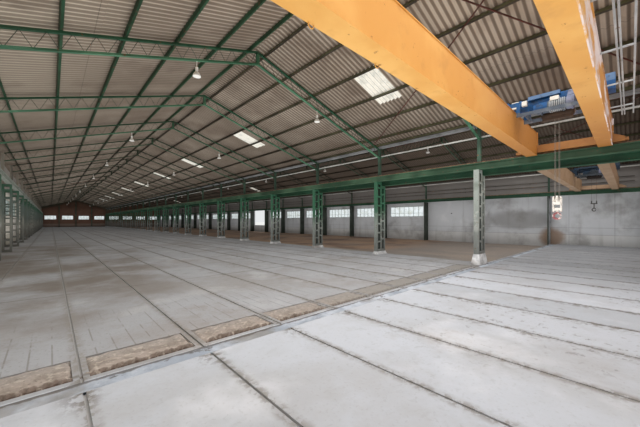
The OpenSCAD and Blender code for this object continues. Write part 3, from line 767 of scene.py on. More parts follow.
# %% Mix the sand
def packed_sand():
    """Sandy fill with pale tracks and darker damp ground."""
    f = Finish("sand_floor")
    f.base = f.mix("#9c8068", "#766255", f.patch(0.40, 0.66, 3.0, 6.0))
    dusty = 1 - f.fade(f.y + f.noise(3.0, 3.0, shift=(4, 4, 4)) * 0.3, -4.55, -4.10)
    f.coat("#86827d", dusty * 0.75)
    f.coat("#968a7d", f.patch(0.52, 0.70, 7.0, 5.0, stretch=(1, 0.3, 1)) * 0.7)
    grit = f.noise(150.0, 3.0)
    f.coat("#5a4b3e", f.fade(grit, 0.56, 0.68) * 0.5)
    f.paint(roughness=0.88 + grit * 0.1)
    f.bump(grit + f.noise(20.0, 4.0) * 2, 0.7, 0.002)
    return f


print("sand mixed")

# %% [markdown]
# The gables are brick over a rendered foot. The Brick texture lays the courses on the wall's own plane,
# x and z, so it is fed with those two coordinates only. The inside is darkened with painted shade, and the
# outside keeps its colour.

# %% Lay the brick
def brick_wall():
    """Orange brown bricks 25 by 7 mm in the model, in grey mortar, over a rendered foot."""
    f = Finish("brickwork")
    bricks = f.node("ShaderNodeTexBrick", None, {
        "Vector": f.vector(f.x, f.z), "Color1": "#8f5c40", "Color2": "#754631", "Mortar": "#857d72",
        "Scale": 1.0, "Mortar Size": 0.0009, "Mortar Smooth": 0.2, "Bias": -0.2, "Brick Width": 0.025,
        "Row Height": 0.0075})
    stained_and_shaded = f.mix(bricks, "#4d3c31", f.patch(0.50, 0.72, 5.0, 5.0) * 0.6)
    # Painted shade: the inner faces of the gables are darkened, their rendered foot with them.
    inside = f.y.above(FRAME_0) * f.y.below(-FRAME_0 + 0.031)
    stained_and_shaded = f.mix(stained_and_shaded, "#3a2c26", inside * 0.62)
    foot = 1 - f.fade(f.z + f.noise(20.0, 3.0) * 0.004, 0.128, 0.132)
    f.base = f.mix(stained_and_shaded, "#8b847b", foot * 0.85 * (1 - inside * 0.6))
    f.paint(roughness=0.84 + f.noise(90.0, 2.0) * 0.12)
    f.bump(f.noise(160.0, 2.0), 0.35, 0.0008)
    return f


print("brick laid")

# %% [markdown]
# The columns stand on rough cast plinths, and the pockets in the floor hold crumbled screed. Both are
# grey stone with strong bumps. The rubble also gets painted shade on the faces that look toward the
# channel and where it lies low.

# %% Cast the plinths and crumble the screed
def plinth_concrete():
    """Rough cast plinths, dusty on top."""
    f = Finish("plinth_concrete")
    f.base = f.mix("#a2a3a4", "#c9cacb", f.patch(0.42, 0.62, 30.0, 5.0))
    f.coat("#6f665d", f.patch(0.56, 0.7, 12.0, 4.0) * 0.5)
    f.paint(roughness=0.9)
    f.bump(f.noise(120.0, 4.0), 0.6, 0.0012)
    return f


def tan_rubble():
    """Crumbled tan screed and earth."""
    f = Finish("tan_rubble")
    f.base = f.mix("#978c83", "#82786f", f.patch(0.40, 0.62, 60.0, 5.0))
    f.coat("#8d8883", f.fade(f.y, POCKET_START + 0.020, POCKET_START + 0.062) * 0.7)
    # Painted shade: darker on the faces that look toward the channel and where the bed lies low.
    front_shade = f.fade(f.facing()[1] * -1.0, 0.20, 0.65)
    f.coat("#4f3d34", front_shade * 0.45 + f.z.below(FLOOR_TOP - 0.0020) * 0.4)
    f.coat("#b9b0a4", f.patch(0.54, 0.66, 140.0, 4.0, shift=(2, 2, 2)) * 0.5)
    f.coat("#5a5046", f.patch(0.60, 0.70, 220.0, 3.0) * 0.5)
    f.coat("#85837f", f.fade(f.x, -1.05, -0.65) * 0.88)
    f.paint(roughness=0.92)
    f.bump(f.noise(300.0, 4.0), 0.8, 0.0010)
    return f


print("plinths and rubble mixed")

# %% [markdown]
# Painted steel is one family: a base coat with patches that faded, grime that runs down, and rust that
# breaks through in spots. The numbers differ from piece to piece, so one function takes them.

# %% Mix the painted steels
def chipped_paint(name, main, faded, grime="#4a4740", rust="#7a4a2c", wear=0.35, roughness=0.5, runs=0.12,
                  far=None, left=None, sheen_below=None):
    """Enamel on steel, faded, with grime and rust. far is its tone at the right, left its tone on the left
    wall, and the last argument the place of a face with a painted reflection of daylight on the gloss."""
    f = Finish(name)
    f.base = f.mix(main, faded, f.patch(0.42, 0.66, 9.0, 5.0))
    if far:
        f.coat(far, f.fade(f.x, -0.95, -0.12))
    if left:
        f.coat(left, f.x.below(-1.40))
    streaks = f.noise(30.0, 4.0, stretch=(1, 1, runs))
    f.coat(grime, f.fade(streaks, 0.54, 0.74) * 0.55)
    spots = f.noise(70.0, 6.0, shift=(2, 3, 5), rough=0.7)
    worn = f.fade(spots, 0.66 - wear * 0.12, 0.70 - wear * 0.10)
    f.coat(rust, worn * 0.85)
    if sheen_below:
        # Painted reflection: a pale streaky sheen of daylight on the glossy face that looks toward the near
        # end.
        grey_coat = f.y.below(sheen_below) * f.patch(0.47, 0.55, 20.0, 6.0, stretch=(0.35, 1, 1), rough=0.7)
        f.coat("#d6d3d8", grey_coat * 0.75)
    f.paint(roughness=roughness + worn * 0.3 + streaks * 0.12)
    f.bump(spots, 0.25, 0.0006)
    return f


print("enamel mixed")

# %% [markdown]
# The columns show pale primer below and dark green paint above, with a ragged edge between the two. The
# edge lies at another height on each column, so a random number for each frame moves it. The runway
# beams are dusty on the main nave's side and fresher on the other.

# %% Paint the columns and the runways
def column_paint():
    """Dark green enamel above, pale primer below; the first column keeps its primer up to the head."""
    f = Finish("column_paint")
    first = f.y.below(frame_y(1) + 0.1)
    last = f.random(((f.y - FRAME_0) / BAY + 0.5).floor(), 2.0, 7.0)
    height = f.z + f.noise(8.0, 4.0) * 0.04 - first * 0.5
    green = f.fade(height, 0.22 - last * 0.08, 0.30 - last * 0.06)
    pale = f.mix("#87918a", "#8b928c", first)
    left = f.x.below(-1.0)
    dark = f.mix("#2c5a43", "#55605a", left * (1 - f.fade(f.z, 0.34, 0.40) * 0.8))
    f.base = f.mix(f.mix(pale, "#8f9085", left), dark, green)
    f.coat("#b9bdb6", f.patch(0.54, 0.66, 26.0, 5.0) * (1 - green) * 0.7)
    f.coat("#556052", f.patch(0.52, 0.70, 18.0, 5.0, shift=(4, 1, 7)) * 0.55)
    # Painted shade: darker towards the foot, against the extra light that the sheets near the floor throw
    # on it.
    foot = 1 - f.fade(f.z, FLOOR_TOP + 0.05, FLOOR_TOP + 0.30)
    f.coat("#50514f", foot * 0.78)
    spots = f.noise(90.0, 6.0, rough=0.7)
    rusty = f.fade(spots, 0.60, 0.66)
    f.coat("#5f4532", rusty * 0.8)
    # Painted shade: the faces inside each battened column are darkened, where little light reaches.
    across = abs((f.x + NAVE / 2) % NAVE - NAVE / 2)
    along = abs((f.y - FRAME_0 + BAY / 2) % BAY - BAY / 2)
    inside = across.below(0.0348) * along.below(0.0082)
    f.coat("#1d241f", inside * 0.88)
    f.paint(roughness=0.5 + rusty * 0.3)
    f.bump(spots, 0.3, 0.0006)
    return f


def runway_paint():
    """Runway beams: dusty green on the main nave's side, a fresher dark green on the other."""
    f = Finish("runway_paint")
    dusty = f.mix("#2b4733", "#46644c", f.patch(0.40, 0.64, 7.0, 5.0))
    fresh = f.mix("#1c3f2c", "#275139", f.patch(0.42, 0.66, 9.0, 5.0))
    f.base = f.mix(dusty, fresh, f.x.above(0.0))
    f.coat("#8d8f88", f.x.below(-1.0) * 0.75)
    spots = f.noise(60.0, 6.0, shift=(2, 3, 5), rough=0.7)
    f.coat("#5e4a3a", f.fade(spots, 0.60, 0.66) * 0.7)
    f.coat("#2a2f29", f.patch(0.54, 0.72, 20.0, 4.0, stretch=(1, 0.3, 1)) * 0.5)
    f.paint(roughness=0.48 + spots * 0.2)
    f.bump(spots, 0.3, 0.0006)
    return f


print("columns and runways painted")

# %% [markdown]
# A trolley is one node with several paints. The parts are told apart by their place from the trolley's
# middle, which keeps the node whole: boxes of coordinates serve as masks. The hook below a block has
# its own colour in the same way.

# %% Paint the hoists and the hooks
ROPE_GROOVES = 0.0016
GIRDER_CAP = 0.003


def crane_origin(number):
    """Middle of a crane's trolley, with the height of the girders' top plates."""
    low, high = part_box("crane_%d_trolley" % number)
    girder_low, girder_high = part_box("crane_%d_girders" % number)
    return (low.x + high.x) / 2, (girder_low.y + girder_high.y) / 2, girder_high.z - GIRDER_CAP


def trolley_paint(name, number, blue, grey, rust, pale):
    """A hoist's paints: blue housing, grey frames, motor and gear case, rusty drum; pale is its wear."""
    f = Finish(name)
    middle = crane_origin(number)
    x, y, z = f.x - middle[0], f.y - middle[1], f.z - middle[2]
    tone = f.noise(25.0, 4.0)
    grime = f.patch(0.50, 0.68, 60.0, 5.0, shift=(1, 4, 2), rough=0.65)
    painted = f.mix(blue, "#5f88a8", f.fade(tone, 0.50, 0.75) * 0.6 * pale)
    grey_coat = f.mix(grey, "#b9bcc0", f.fade(tone, 0.45, 0.70) * 0.45 * pale)
    frames = z.below(-0.010) * abs(x).below(0.046)
    motor = x.below(-0.005) * z.below(0.0105) * y.below(0.004) * y.above(-0.036) * z.above(-0.0205)
    gears = y.below(-0.0350) * y.above(-0.0510) * x.above(-0.040)
    plate = x.below(-0.0155) * z.above(0.0255)
    f.base = f.mix(painted, grey_coat, frames)
    f.coat(grey_coat, motor)
    f.coat(f.mix(grey_coat, "#8486a0", 0.5), gears)
    f.coat("#a9bccb", plate * pale * 0.35)
    drum = z.below(-0.0115) * abs(x).below(0.0125) * y.above(-0.050) * y.below(0.022)
    grooves = f.near(f.y, 0.0, ROPE_GROOVES, 0.0001, 0.0006)
    f.coat(f.mix(rust, "#2b211d", grooves), drum)
    f.coat("#2d2f30", grime * 0.55)
    f.paint(roughness=0.38 + grime * 0.35 + drum * 0.25)
    f.bump(f.noise(150.0, 4.0), 0.3, 0.0004)
    return f


def hook_paint(name, number, body, hook, worn):
    """A hook block: enamel worn at the edges, its hook in its own colour with pale wear."""
    f = Finish(name)
    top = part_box("crane_%d_hook_block" % number)[1].z
    hanging = 1 - f.fade(f.z, top - 0.0440, top - 0.0420)
    chips = f.patch(0.52, 0.60, 160.0, 5.0, rough=0.7)
    shell = f.mix(body, "#8b857a", chips * 0.6)
    red = f.mix(hook, worn, f.patch(0.50, 0.58, 110.0, 4.0, shift=(3, 3, 1)))
    f.base = f.mix(shell, red, hanging)
    f.paint(roughness=0.4 + chips * 0.3)
    f.bump(chips, 0.3, 0.0004)
    return f


print("hoists painted")

# %% [markdown]
# The window glass is dusty, so it is milky rather than clear: it lets light through in part, and shines
# a little, because no daylight reaches it from behind in this scene.

# %% Make the window glass
def glass_sheet():
    """Dusty window glass, milky in patches."""
    f = Finish("pane_glass")
    dust = f.patch(0.40, 0.70, 18.0, 5.0)
    f.base = f.mix("#e4edf0", "#c9cfcb", dust)
    f.paint(roughness=0.10 + dust * 0.5, alpha=0.45 + dust * 0.35)
    f.glow(0.45)
    return f


print("glass made")

# %% [markdown]
# Posts, rafters and purlins are old green or brown steel. Their faces differ by the way they point and
# by their place in the hall, so the masks read the normal and the coordinates.

# %% Paint the posts, the rafters and the purlins
def wall_post_paint():
    """Posts on the right wall: dark green sides, and faces as pale as the wall up to the runway."""
    f = Finish("wall_post_paint")
    near = (1 - f.fade(f.z, 0.36, 0.40)) * (1 - f.fade(f.y, -4.9, -4.6))
    face = f.facing()[1].below(-0.5) * near
    f.base = f.mix("#2d332d", "#3d463e", f.patch(0.40, 0.66, 14.0, 5.0))
    f.coat("#93979a", face * (1 - f.patch(0.50, 0.66, 24.0, 5.0) * 0.5))
    f.paint(roughness=0.72)
    f.bump(f.noise(80.0, 5.0), 0.3, 0.0006)
    return f


def rafter_paint():
    """Rafters: green chords, the top ones darker with painted shade, grime, spots of rust, and painted
    shade towards the far end.
    """
    f = Finish("rafter_green")
    # Painted shade: the top chords are painted a darker green than the lower ones.
    away = abs(abs(f.x) - HALF_NAVE)
    top = f.z.above(RIDGE_TOP - 0.011 - away * SLOPE)
    tone = f.patch(0.42, 0.66, 9.0, 5.0)
    lower = f.mix("#335f47", "#4c7a5e", tone)
    f.base = f.mix(lower, f.mix("#19422d", "#234f38", tone), top)
    f.coat("#24382c", f.patch(0.54, 0.70, 30.0, 4.0, stretch=(0.3, 1, 1)) * 0.5)
    # Painted shade: darker towards the far end of the hall.
    f.coat("#26231b", f.fade(f.y, -4.6, -2.4) * 0.80)
    f.coat("#2b2a23", f.x.above(0.03) * 0.70)
    spots = f.patch(0.62, 0.68, 70.0, 6.0, shift=(2, 3, 5), rough=0.7)
    f.coat("#6b4a34", spots * 0.7)
    f.paint(roughness=0.5 + spots * 0.3)
    f.bump(spots, 0.3, 0.0006)
    return f


def purlin_paint():
    """Purlins: dark green on the left slope, brown with rust elsewhere, and a painted olive highlight on
    the sides that face left near the near end.
    """
    f = Finish("purlin_steel")
    left = f.x.below(-HALF_NAVE) * (1 - f.fade(f.y, -4.2, -2.6))
    tone = f.patch(0.42, 0.66, 9.0, 5.0)
    f.base = f.mix("#262118", "#383125", tone)
    # Painted highlight: the sides that face left, near the near end, are painted a lighter olive.
    lit_side = f.facing()[0].below(-0.4) * (1 - f.fade(f.y, -4.8, -4.0))
    f.coat("#6f7256", lit_side * (0.5 + tone * 0.4))
    f.coat(f.mix("#17331f", "#21452f", tone), left)
    spots = f.patch(0.58, 0.66, 60.0, 6.0, shift=(4, 3, 1), rough=0.7)
    f.coat("#5e4230", spots * 0.6)
    f.paint(roughness=0.6 + spots * 0.2)
    f.bump(spots, 0.3, 0.0006)
    return f


print("posts, rafters and purlins painted")

# %% [markdown]
# Wheels keep the top of a rail bright, and the rest rusts. The normal tells the two apart, so a single
# material serves the whole rail.

# %% Make the steel of the rails
def rolled_steel():
    """Rail steel with a bright running face and brown sides."""
    f = Finish("rail_steel")
    top = f.fade(f.facing()[2], 0.7, 0.95)
    f.base = f.mix("#5a4436", "#7b5f49", f.patch(0.4, 0.6, 60.0, 4.0))
    f.coat("#9a958e", top)
    f.paint(roughness=0.75 - top * 0.4, metallic=top * 0.8)
    return f


print("rail steel made")

# %% [markdown]
# The roof is corrugated fibre cement. From below it is warm grey brown, with painted shade in the waves'
# hollows and towards the far end, and painted light near the left wall and the near end; from above the
# weather has bleached it and lichen grows on it. The masks read the normal to tell the two sides.

# %% Mix the roof sheets
WAVE = 0.0177
LIGHT_COURSE = (0.280, 0.472)
SHEET_WAVES = 6


def fibre_cement():
    """Fibre cement sheets: warm brown grey below, bleached with lichen above."""
    f = Finish("fibre_cement")
    top = f.fade(f.facing()[2], -0.1, 0.1)
    valley = (f.y * (2 * math.pi / WAVE)).sine() * 0.5 + 0.5
    f.base = f.mix("#b0a393", "#988a7a", f.patch(0.35, 0.65, 5.0, 5.0))
    away = abs(abs(f.x) - HALF_NAVE)
    upper, lower = LIGHT_COURSE
    sheet = f.random((f.y / (SHEET_WAVES * WAVE)).floor(), away.above(upper), away.above(lower))
    f.coat("#6d6053", sheet * 0.38)
    f.coat("#51463c", f.fade(f.x, -0.50, 0.05) * 0.60 + f.x.above(0.0) * 0.22)
    # Painted light: paler near the left wall and the near end.
    bright = (1 - f.fade(f.x, -1.45, -1.00)) * (1 - f.fade(f.y, -4.8, -3.4))
    f.coat("#d8ccb8", bright * 0.85)
    f.coat("#2e2620", f.x.above(0.0) * 0.45)
    # Painted shade: darker in the hollows of the waves seen from below.
    f.coat("#43382f", f.fade(valley, 0.40, 0.95) * 0.66)
    f.coat("#57493e", f.patch(0.50, 0.72, 7.0, 6.0, shift=(2, 5, 0)) * 0.5)
    # Painted shade: darker towards the far end.
    f.coat("#594c41", f.fade(f.y, 1.0, 5.0) * 0.4)
    below = f.base
    f.base = f.mix("#a29d94", "#8a867e", f.patch(0.4, 0.6, 2.0, 3.0))
    f.coat("#6d6f5c", f.patch(0.50, 0.66, 14.0, 6.0, rough=0.65) * 0.7)
    f.coat("#b9b6ae", f.patch(0.56, 0.68, 26.0, 4.0, shift=(1, 1, 1)) * 0.5)
    f.coat("#5e5a50", f.fade(valley, 0.6, 1.0) * 0.4)
    lap = f.near(away, lower, ONCE, 0.0007, 0.0004) + f.near(away, upper, ONCE, 0.0007, 0.0004)
    f.base = f.mix(below, f.base, top)
    f.coat("#3a322a", lap * 0.4)
    f.paint(roughness=0.88)
    f.bump(f.noise(200.0, 3.0), 0.3, 0.0008)
    return f


print("fibre cement mixed")

# %% [markdown]
# The rooflights are translucent sheets of the same wave. Instead of real light behind them they shine
# weakly, striped by the wave, so that they read as daylight from inside.

# %% Make the rooflight sheets
def rooflight_sheet():
    """Translucent sheets: the daylight in them makes them glow."""
    f = Finish("rooflight_sheet")
    f.base = f.mix("#d9d6cb", "#bfbfb6", f.patch(0.45, 0.7, 30.0, 5.0))
    stripe = f.fade(((f.y - ROOF_START) * (2 * math.pi / WAVE)).sine(), 0.0, 1.0)
    f.coat("#8d8c82", stripe * 0.7)
    f.paint(roughness=0.5)
    f.glow(0.30)
    return f


print("rooflight sheet mixed")

# %% [markdown]
# Now each node of the frame gets its finish. Enamelled pieces differ only in their numbers, so they are
# mixed here, in one line each.

# %% Paint the CAD nodes
def dress(finish, *names):
    """Give CAD nodes a finish."""
    for name in names:
        mesh = nodes[name].data
        mesh.materials.clear()
        mesh.materials.append(finish.material)


# The girder face that gets the painted reflection of daylight.
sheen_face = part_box("crane_1_girders")[0].y + 0.0035

dress(concrete_slabs(), "main_floor")
dress(packed_sand(), "side_floor")
dress(left_wall_coat(), "left_wall")
dress(right_wall_coat(), "right_wall_front", "right_wall_back", "open_bay_surround")
dress(brick_wall(), "far_wall_left", "far_wall_right", "near_wall_left", "near_wall_right")
plinths = plinth_concrete()
dress(plinths, "column_plinths")
dress(glass_sheet(), "left_window_glass", "right_window_glass", "end_window_glass")
dress(column_paint(), "left_columns", "middle_columns")
dress(runway_paint(), "runway_beams")
dress(rolled_steel(), "crane_rails")
dress(rafter_paint(), "main_rafters_left", "main_rafters_right", "side_rafters_left", "side_rafters_right")
dress(purlin_paint(), "purlins")
dress(wall_post_paint(), "right_wall_posts")
dress(chipped_paint("post_green", "#2a3f33", "#40594a", grime="#26261f", wear=0.5, left="#8b867b"),
      "end_wall_posts", "roof_posts")
cement_sheet = fibre_cement()
dress(cement_sheet, "ridge_caps")
dress(chipped_paint("zinc_sheet", "#6a6c6d", "#808283", grime="#4d4d4b", rust="#5c4636", wear=0.2),
      "valley_gutter")
dress(chipped_paint("pipe_steel", "#a9a9a4", "#c4c3bd", wear=0.2), "service_pipes")
dress(chipped_paint("lamp_enamel", "#e9e8e2", "#f3f2ee", wear=0.1, roughness=0.3), "pendant_lamps")
orange = chipped_paint("crane_orange", "#cf9747", "#d9a658", grime="#bb8842", rust="#7a5230", wear=0.12,
                       runs=1.0, far="#a56d31", sheen_below=sheen_face)
truck_orange = chipped_paint("truck_orange", "#8c5c2d", "#98693a", grime="#6f4a28", wear=0.2, runs=1.0)
dusty_orange = chipped_paint("dusty_orange", "#93775a", "#a0846a", grime="#7a5b42", wear=0.2, runs=1.0)
light_grey = chipped_paint("crane_grey", "#9a9ea0", "#b4b6b5", wear=0.25)
main_hoist = trolley_paint("main_hoist", 1, "#0e4d82", "#4d5865", "#54402f", 0.6)
small_hoist = trolley_paint("small_hoist", 2, "#182c3e", "#323a41", "#2c2521", 0.12)
dark_iron = chipped_paint("dark_iron", "#3a3430", "#4d443c", wear=0.6, roughness=0.7)
dress(orange, "crane_1_girders")
dress(truck_orange, "crane_1_end_trucks")
dress(dusty_orange, "crane_2_girders", "crane_2_end_trucks")
dress(light_grey, "crane_1_cable_rail")
dress(main_hoist, "crane_1_trolley")
dress(small_hoist, "crane_2_trolley")
dress(hook_paint("main_hook", 1, "#e6e2da", "#8f5658", "#c9b4b0"), "crane_1_hook_block")
dress(hook_paint("small_hook", 2, "#3c3c3a", "#33312f", "#56524c"), "crane_2_hook_block")
print("nodes dressed")

# %% [markdown]
# ## Roof sheets
# Corrugated sheets lie across the purlins in three courses a slope, each lapped over the one below.
# Their shape follows a rule, so a tree makes the whole slope: a strip two points wide is folded by a
# cosine, doubled into a thin skin, and cut where the rooflights lie. The rooflights are the sheets that
# the cut takes out of the middle course, from the same tree's nodes. All of them share one grid of
# waves, so that lapped sheets nest. Copies of one wave would do too, but not the laps and the cuts.

# %% Name the sizes of the sheets
STEPS_PER_WAVE = 6
WAVE_HEIGHT = 0.0050
SHEET_SKIN = 0.0006
SHEET_STEPS = round((ROOF_END - ROOF_START) / WAVE * STEPS_PER_WAVE)
SHEET_STEP = (ROOF_END - ROOF_START) / SHEET_STEPS
LAP = 0.012
LIGHT_LAP = 0.001
LAP_LIFT = 0.0008
SEAM = 0.00001
VALLEY_FOOT = 0.745
OUTER_FOOT = -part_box("main_roof_left")[0].x - HALF_NAVE
LIGHT_WIDTH = 0.107
LIGHT_SHIFT = 0.015
LIGHT_BAYS = {"main": range(1, FRAME_COUNT - 2, 2), "side": range(8, FRAME_COUNT - 2, 8)}
print("wave steps along a slope", SHEET_STEPS)

# %% [markdown]
# Two functions write the nodes. The first finds the columns of the grid that lie in a rooflight: the
# nearest one is worked out from the pitch, and its two ends are rounded to the grid. The second makes
# one course.

# %% Write the nodes of a course
def light_columns(g):
    """1 on the faces of a course that lie where a rooflight does."""
    index = g.node("GeometryNodeInputIndex")
    along = (index + 0.5) * g.given["step"] - g.given["first_light"]
    number = ((along - LIGHT_WIDTH / 2) / g.given["light_pitch"] + 0.5).floor()
    begin = g.given["first_light"] + number.within(0.0, g.given["lights"] - 1) * g.given["light_pitch"]
    first = (begin / g.given["step"] + 0.5).floor()
    last = ((begin + LIGHT_WIDTH) / g.given["step"] + 0.5).floor()
    return index.above(first - 0.5) * index.below(last - 0.5) * g.given["lights"].above(0.0)


def course(g, near, far, lift, cut=None):
    """One course of sheets between two distances from the ridge, lifted at its foot over the next."""
    given = g.given
    strip = g.node("GeometryNodeMeshGrid", None, {"Vertices X": 2, "Vertices Y": given["columns"]})
    index = g.node("GeometryNodeInputIndex")
    column = index % given["columns"]
    outer = abs((index / given["columns"]).floor() - given["side"].below(0.0))
    away = outer * (far - near) + near
    turn = column % STEPS_PER_WAVE * (2 * math.pi / STEPS_PER_WAVE)
    wave = (1 - turn.cosine()) * (given["wave"] / 2)
    place = g.vector(
        given["ridge"] + given["side"] * away,
        given["start"] + column * given["step"],
        given["top"] - away * given["slope"] + outer * lift + wave)
    skin = g.node("GeometryNodeSetPosition", None, {"Geometry": strip, "Position": place})
    if cut:
        skin = g.node("GeometryNodeDeleteGeometry", {"domain": "FACE"}, {
            "Geometry": skin, "Selection": cut})
    skin = g.smooth(skin)
    thick = g.node("GeometryNodeExtrudeMesh", {"mode": "FACES"}, {
        "Mesh": skin, "Offset": g.vector(0.0, 0.0, given["skin"]), "Individual": False})
    underside = g.node("GeometryNodeFlipFaces", None, {"Mesh": skin})
    shell = g.join(g.smooth(thick, g.twin(thick, "Side"), False), underside)
    return g.node("GeometryNodeMergeByDistance", None, {"Geometry": shell, "Distance": SEAM})


print("course ready")

# %% [markdown]
# A slope is three courses joined. The four slopes differ in their ridge, their side, their foot and
# their rooflights, so one tree with four sets of sizes makes them all.

# %% Corrugate the slopes
def slope_tree(name, lit):
    """Geometry Nodes: one slope of sheets, or only its rooflights."""
    g = Growth(name, ridge=0.0, side=1.0, top=RIDGE_TOP + SHEET_FOOT, slope=SLOPE, foot=VALLEY_FOOT,
               start=ROOF_START, columns=SHEET_STEPS + 1, step=SHEET_STEP, wave=WAVE_HEIGHT,
               skin=SHEET_SKIN, lights=0, first_light=0.0, light_pitch=1.0)
    upper, lower = LIGHT_COURSE
    if lit:
        return g.close(course(g, upper - LIGHT_LAP, lower, LAP_LIFT, 1 - light_columns(g)))
    return g.close(g.join(
        course(g, 0.0, upper, LAP_LIFT),
        course(g, upper - LAP, lower, LAP_LIFT, light_columns(g)),
        course(g, lower - LAP, g.given["foot"], 0.0)))


def light_sizes(nave):
    """The sizes that say where a nave's rooflights lie."""
    bays = LIGHT_BAYS[nave]
    first = frame_y(bays[0]) + (BAY - LIGHT_WIDTH) / 2 - LIGHT_SHIFT
    return {"lights": len(bays), "first_light": first - ROOF_START, "light_pitch": bays.step * BAY}


sheets = slope_tree("corrugated_slope", lit=False)
for nave, hand, ridge, side in SLOPES:
    sizes = light_sizes(nave) if hand == "right" else {}
    foot = OUTER_FOOT if ridge * side > 0 else VALLEY_FOOT
    name = "%s_roof_%s" % (nave, hand)
    mesh = sheets.mesh(name + "_sheets", cement_sheet, ridge=ridge, side=side, foot=foot, **sizes)
    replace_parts(place_piece(name + "_sheets", mesh, "hall"), name)

# %% [markdown]
# The rooflights themselves come from the cut turned round. Their lap is short, because the sheet above
# them hides the rest.

# %% Lay the rooflights
glowing = rooflight_sheet()
light_rows = slope_tree("rooflight_rows", lit=True)
lit = Shape()
for nave, ridge in zip(NAVES, RIDGES):
    lit.take(light_rows.mesh(nave + "_lights", glowing, ridge=ridge, **light_sizes(nave)))
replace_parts(lit.build("rooflight_sheets", "hall", glowing), "rooflights")

# %% [markdown]
# ## Rafter lacing
# Each rafter is two chords laced with thin bent rods. The zigzag repeats along every rafter and every
# rafter repeats at each frame: a line is bent up and down by the parity of its points, given a round
# profile and set at each frame. The solids leave it out, because it counts some 3000 rods.

# %% Lace the rafters
LACE_RADIUS = 0.0013
LACE_SIDES = 5
LACE_FIELDS = 32
LACE_INSET = 0.6 * CHORD
LACE_ENDS = (HALF_NAVE - 0.010, 0.008)


def lacing_tree():
    """Geometry Nodes: a zigzag rod between two lines, repeated at every frame."""
    g = Growth("rafter_lacing", start=(0.0, 0.0, 0.0), end=(1.0, 0.0, 0.0),
               depth=RAFTER_DEPTH - 2 * LACE_INSET, fields=LACE_FIELDS, radius=LACE_RADIUS,
               frames=FRAME_COUNT, bay=BAY)
    given = g.given
    line = g.node("GeometryNodeCurvePrimitiveLine", None, {"Start": given["start"], "End": given["end"]})
    points = g.node("GeometryNodeResampleCurve", None, {"Curve": line, "Count": given["fields"] + 1})
    drop = g.node("GeometryNodeInputIndex") % 2 * given["depth"] * -1
    bent = g.node("GeometryNodeSetPosition", None, {
        "Geometry": points, "Offset": g.vector(0.0, 0.0, drop)})
    profile = g.node("GeometryNodeCurvePrimitiveCircle", None, {
        "Resolution": LACE_SIDES, "Radius": given["radius"]})
    rod = g.node("GeometryNodeCurveToMesh", None, {
        "Curve": bent, "Profile Curve": profile, "Fill Caps": True})
    return g.close(g.repeat(rod, g.row(given["frames"], g.vector(0.0, given["bay"]))))


lace_green = chipped_paint("lace_green", "#27362b", "#38493c", grime="#25291f", wear=0.5)
lacing = lacing_tree()
for nave, hand, ridge, side in SLOPES:
    name = "%s_%s_lacing" % (nave, hand)
    foot, head = [(ridge + side * d, frame_y(0), rafter_top(d) - LACE_INSET) for d in LACE_ENDS]
    place_piece(name, lacing.mesh(name, lace_green, start=foot, end=head), "hall")

# %% [markdown]
# ## Hoist ropes
# A rope between the trolley and its hook block gets longer as the hook goes down. Its mesh has corners
# only at its two ends, a straight tube from the guide to the hook block.

# %% Hang the ropes
ROPE_RADIUS = 0.00045


def hang_ropes(number, finish):
    """The rope falls of one crane, from the guide to the hook block."""
    low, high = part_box("crane_%d_ropes" % number)
    falls = Shape()
    for x in sorted({round(low.x + ROPE_RADIUS, 5), round(high.x - ROPE_RADIUS, 5)}):
        for y in (low.y + ROPE_RADIUS, high.y - ROPE_RADIUS):
            falls.tube([(x, y, high.z), (x, y, low.z)], ROPE_RADIUS, sides=8)
    piece = falls.build("crane_%d_rope_falls" % number, None, finish)
    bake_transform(piece)
    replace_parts(piece, "crane_%d_ropes" % number)


wire = chipped_paint("rope_steel", "#6e6963", "#837d76", wear=0.2)
hang_ropes(1, wire)
hang_ropes(2, dark_iron)

# %% [markdown]
# ## Rubble in the pockets
# The pockets beside the channel are filled with crumbled screed, and the channel with smeared mortar.
# Each bed is a grid of points lifted by noise. The rubble starts behind a scalloped front and spills
# over the other rims, where the slab hides what lies below its face.

# %% Fill the pockets
POCKET_MARGIN = 0.009
POCKET_SHIFT = 0.003
POCKET_FLOOR = FLOOR_TOP - 0.005
POCKET_COUNT = int((SLAB_EDGE + INNER_X) / SLAB_PITCH)
SPILL = 0.007
RUBBLE_GRID = (96, 44)
MORTAR_GRID = (900, 12)
BED_LIFT = 0.0004
SCALLOP = 0.0085


def bumps(x, y, scale, shift=0.0):
    """Noise over the floor, about -1 to 1."""
    return noise.noise(Vector((x * scale, y * scale, shift))) * 1.6


def grid(shape, xs, ys, height):
    """A bed: a grid of points with a height for each, its corners shared so that it shades as one skin."""
    wide = len(xs)
    shape.add([(x, y, height(x, y)) for y in ys for x in xs],
              [(k, k + 1, k + wide + 1, k + wide)
               for j in range(len(ys) - 1) for k in range(j * wide, (j + 1) * wide - 1)], True)


def steps(low, high, count):
    return [low + (high - low) * k / count for k in range(count + 1)]


def smooth_step(value):
    value = max(0.0, min(1.0, value))
    return value * value * (3 - 2 * value)


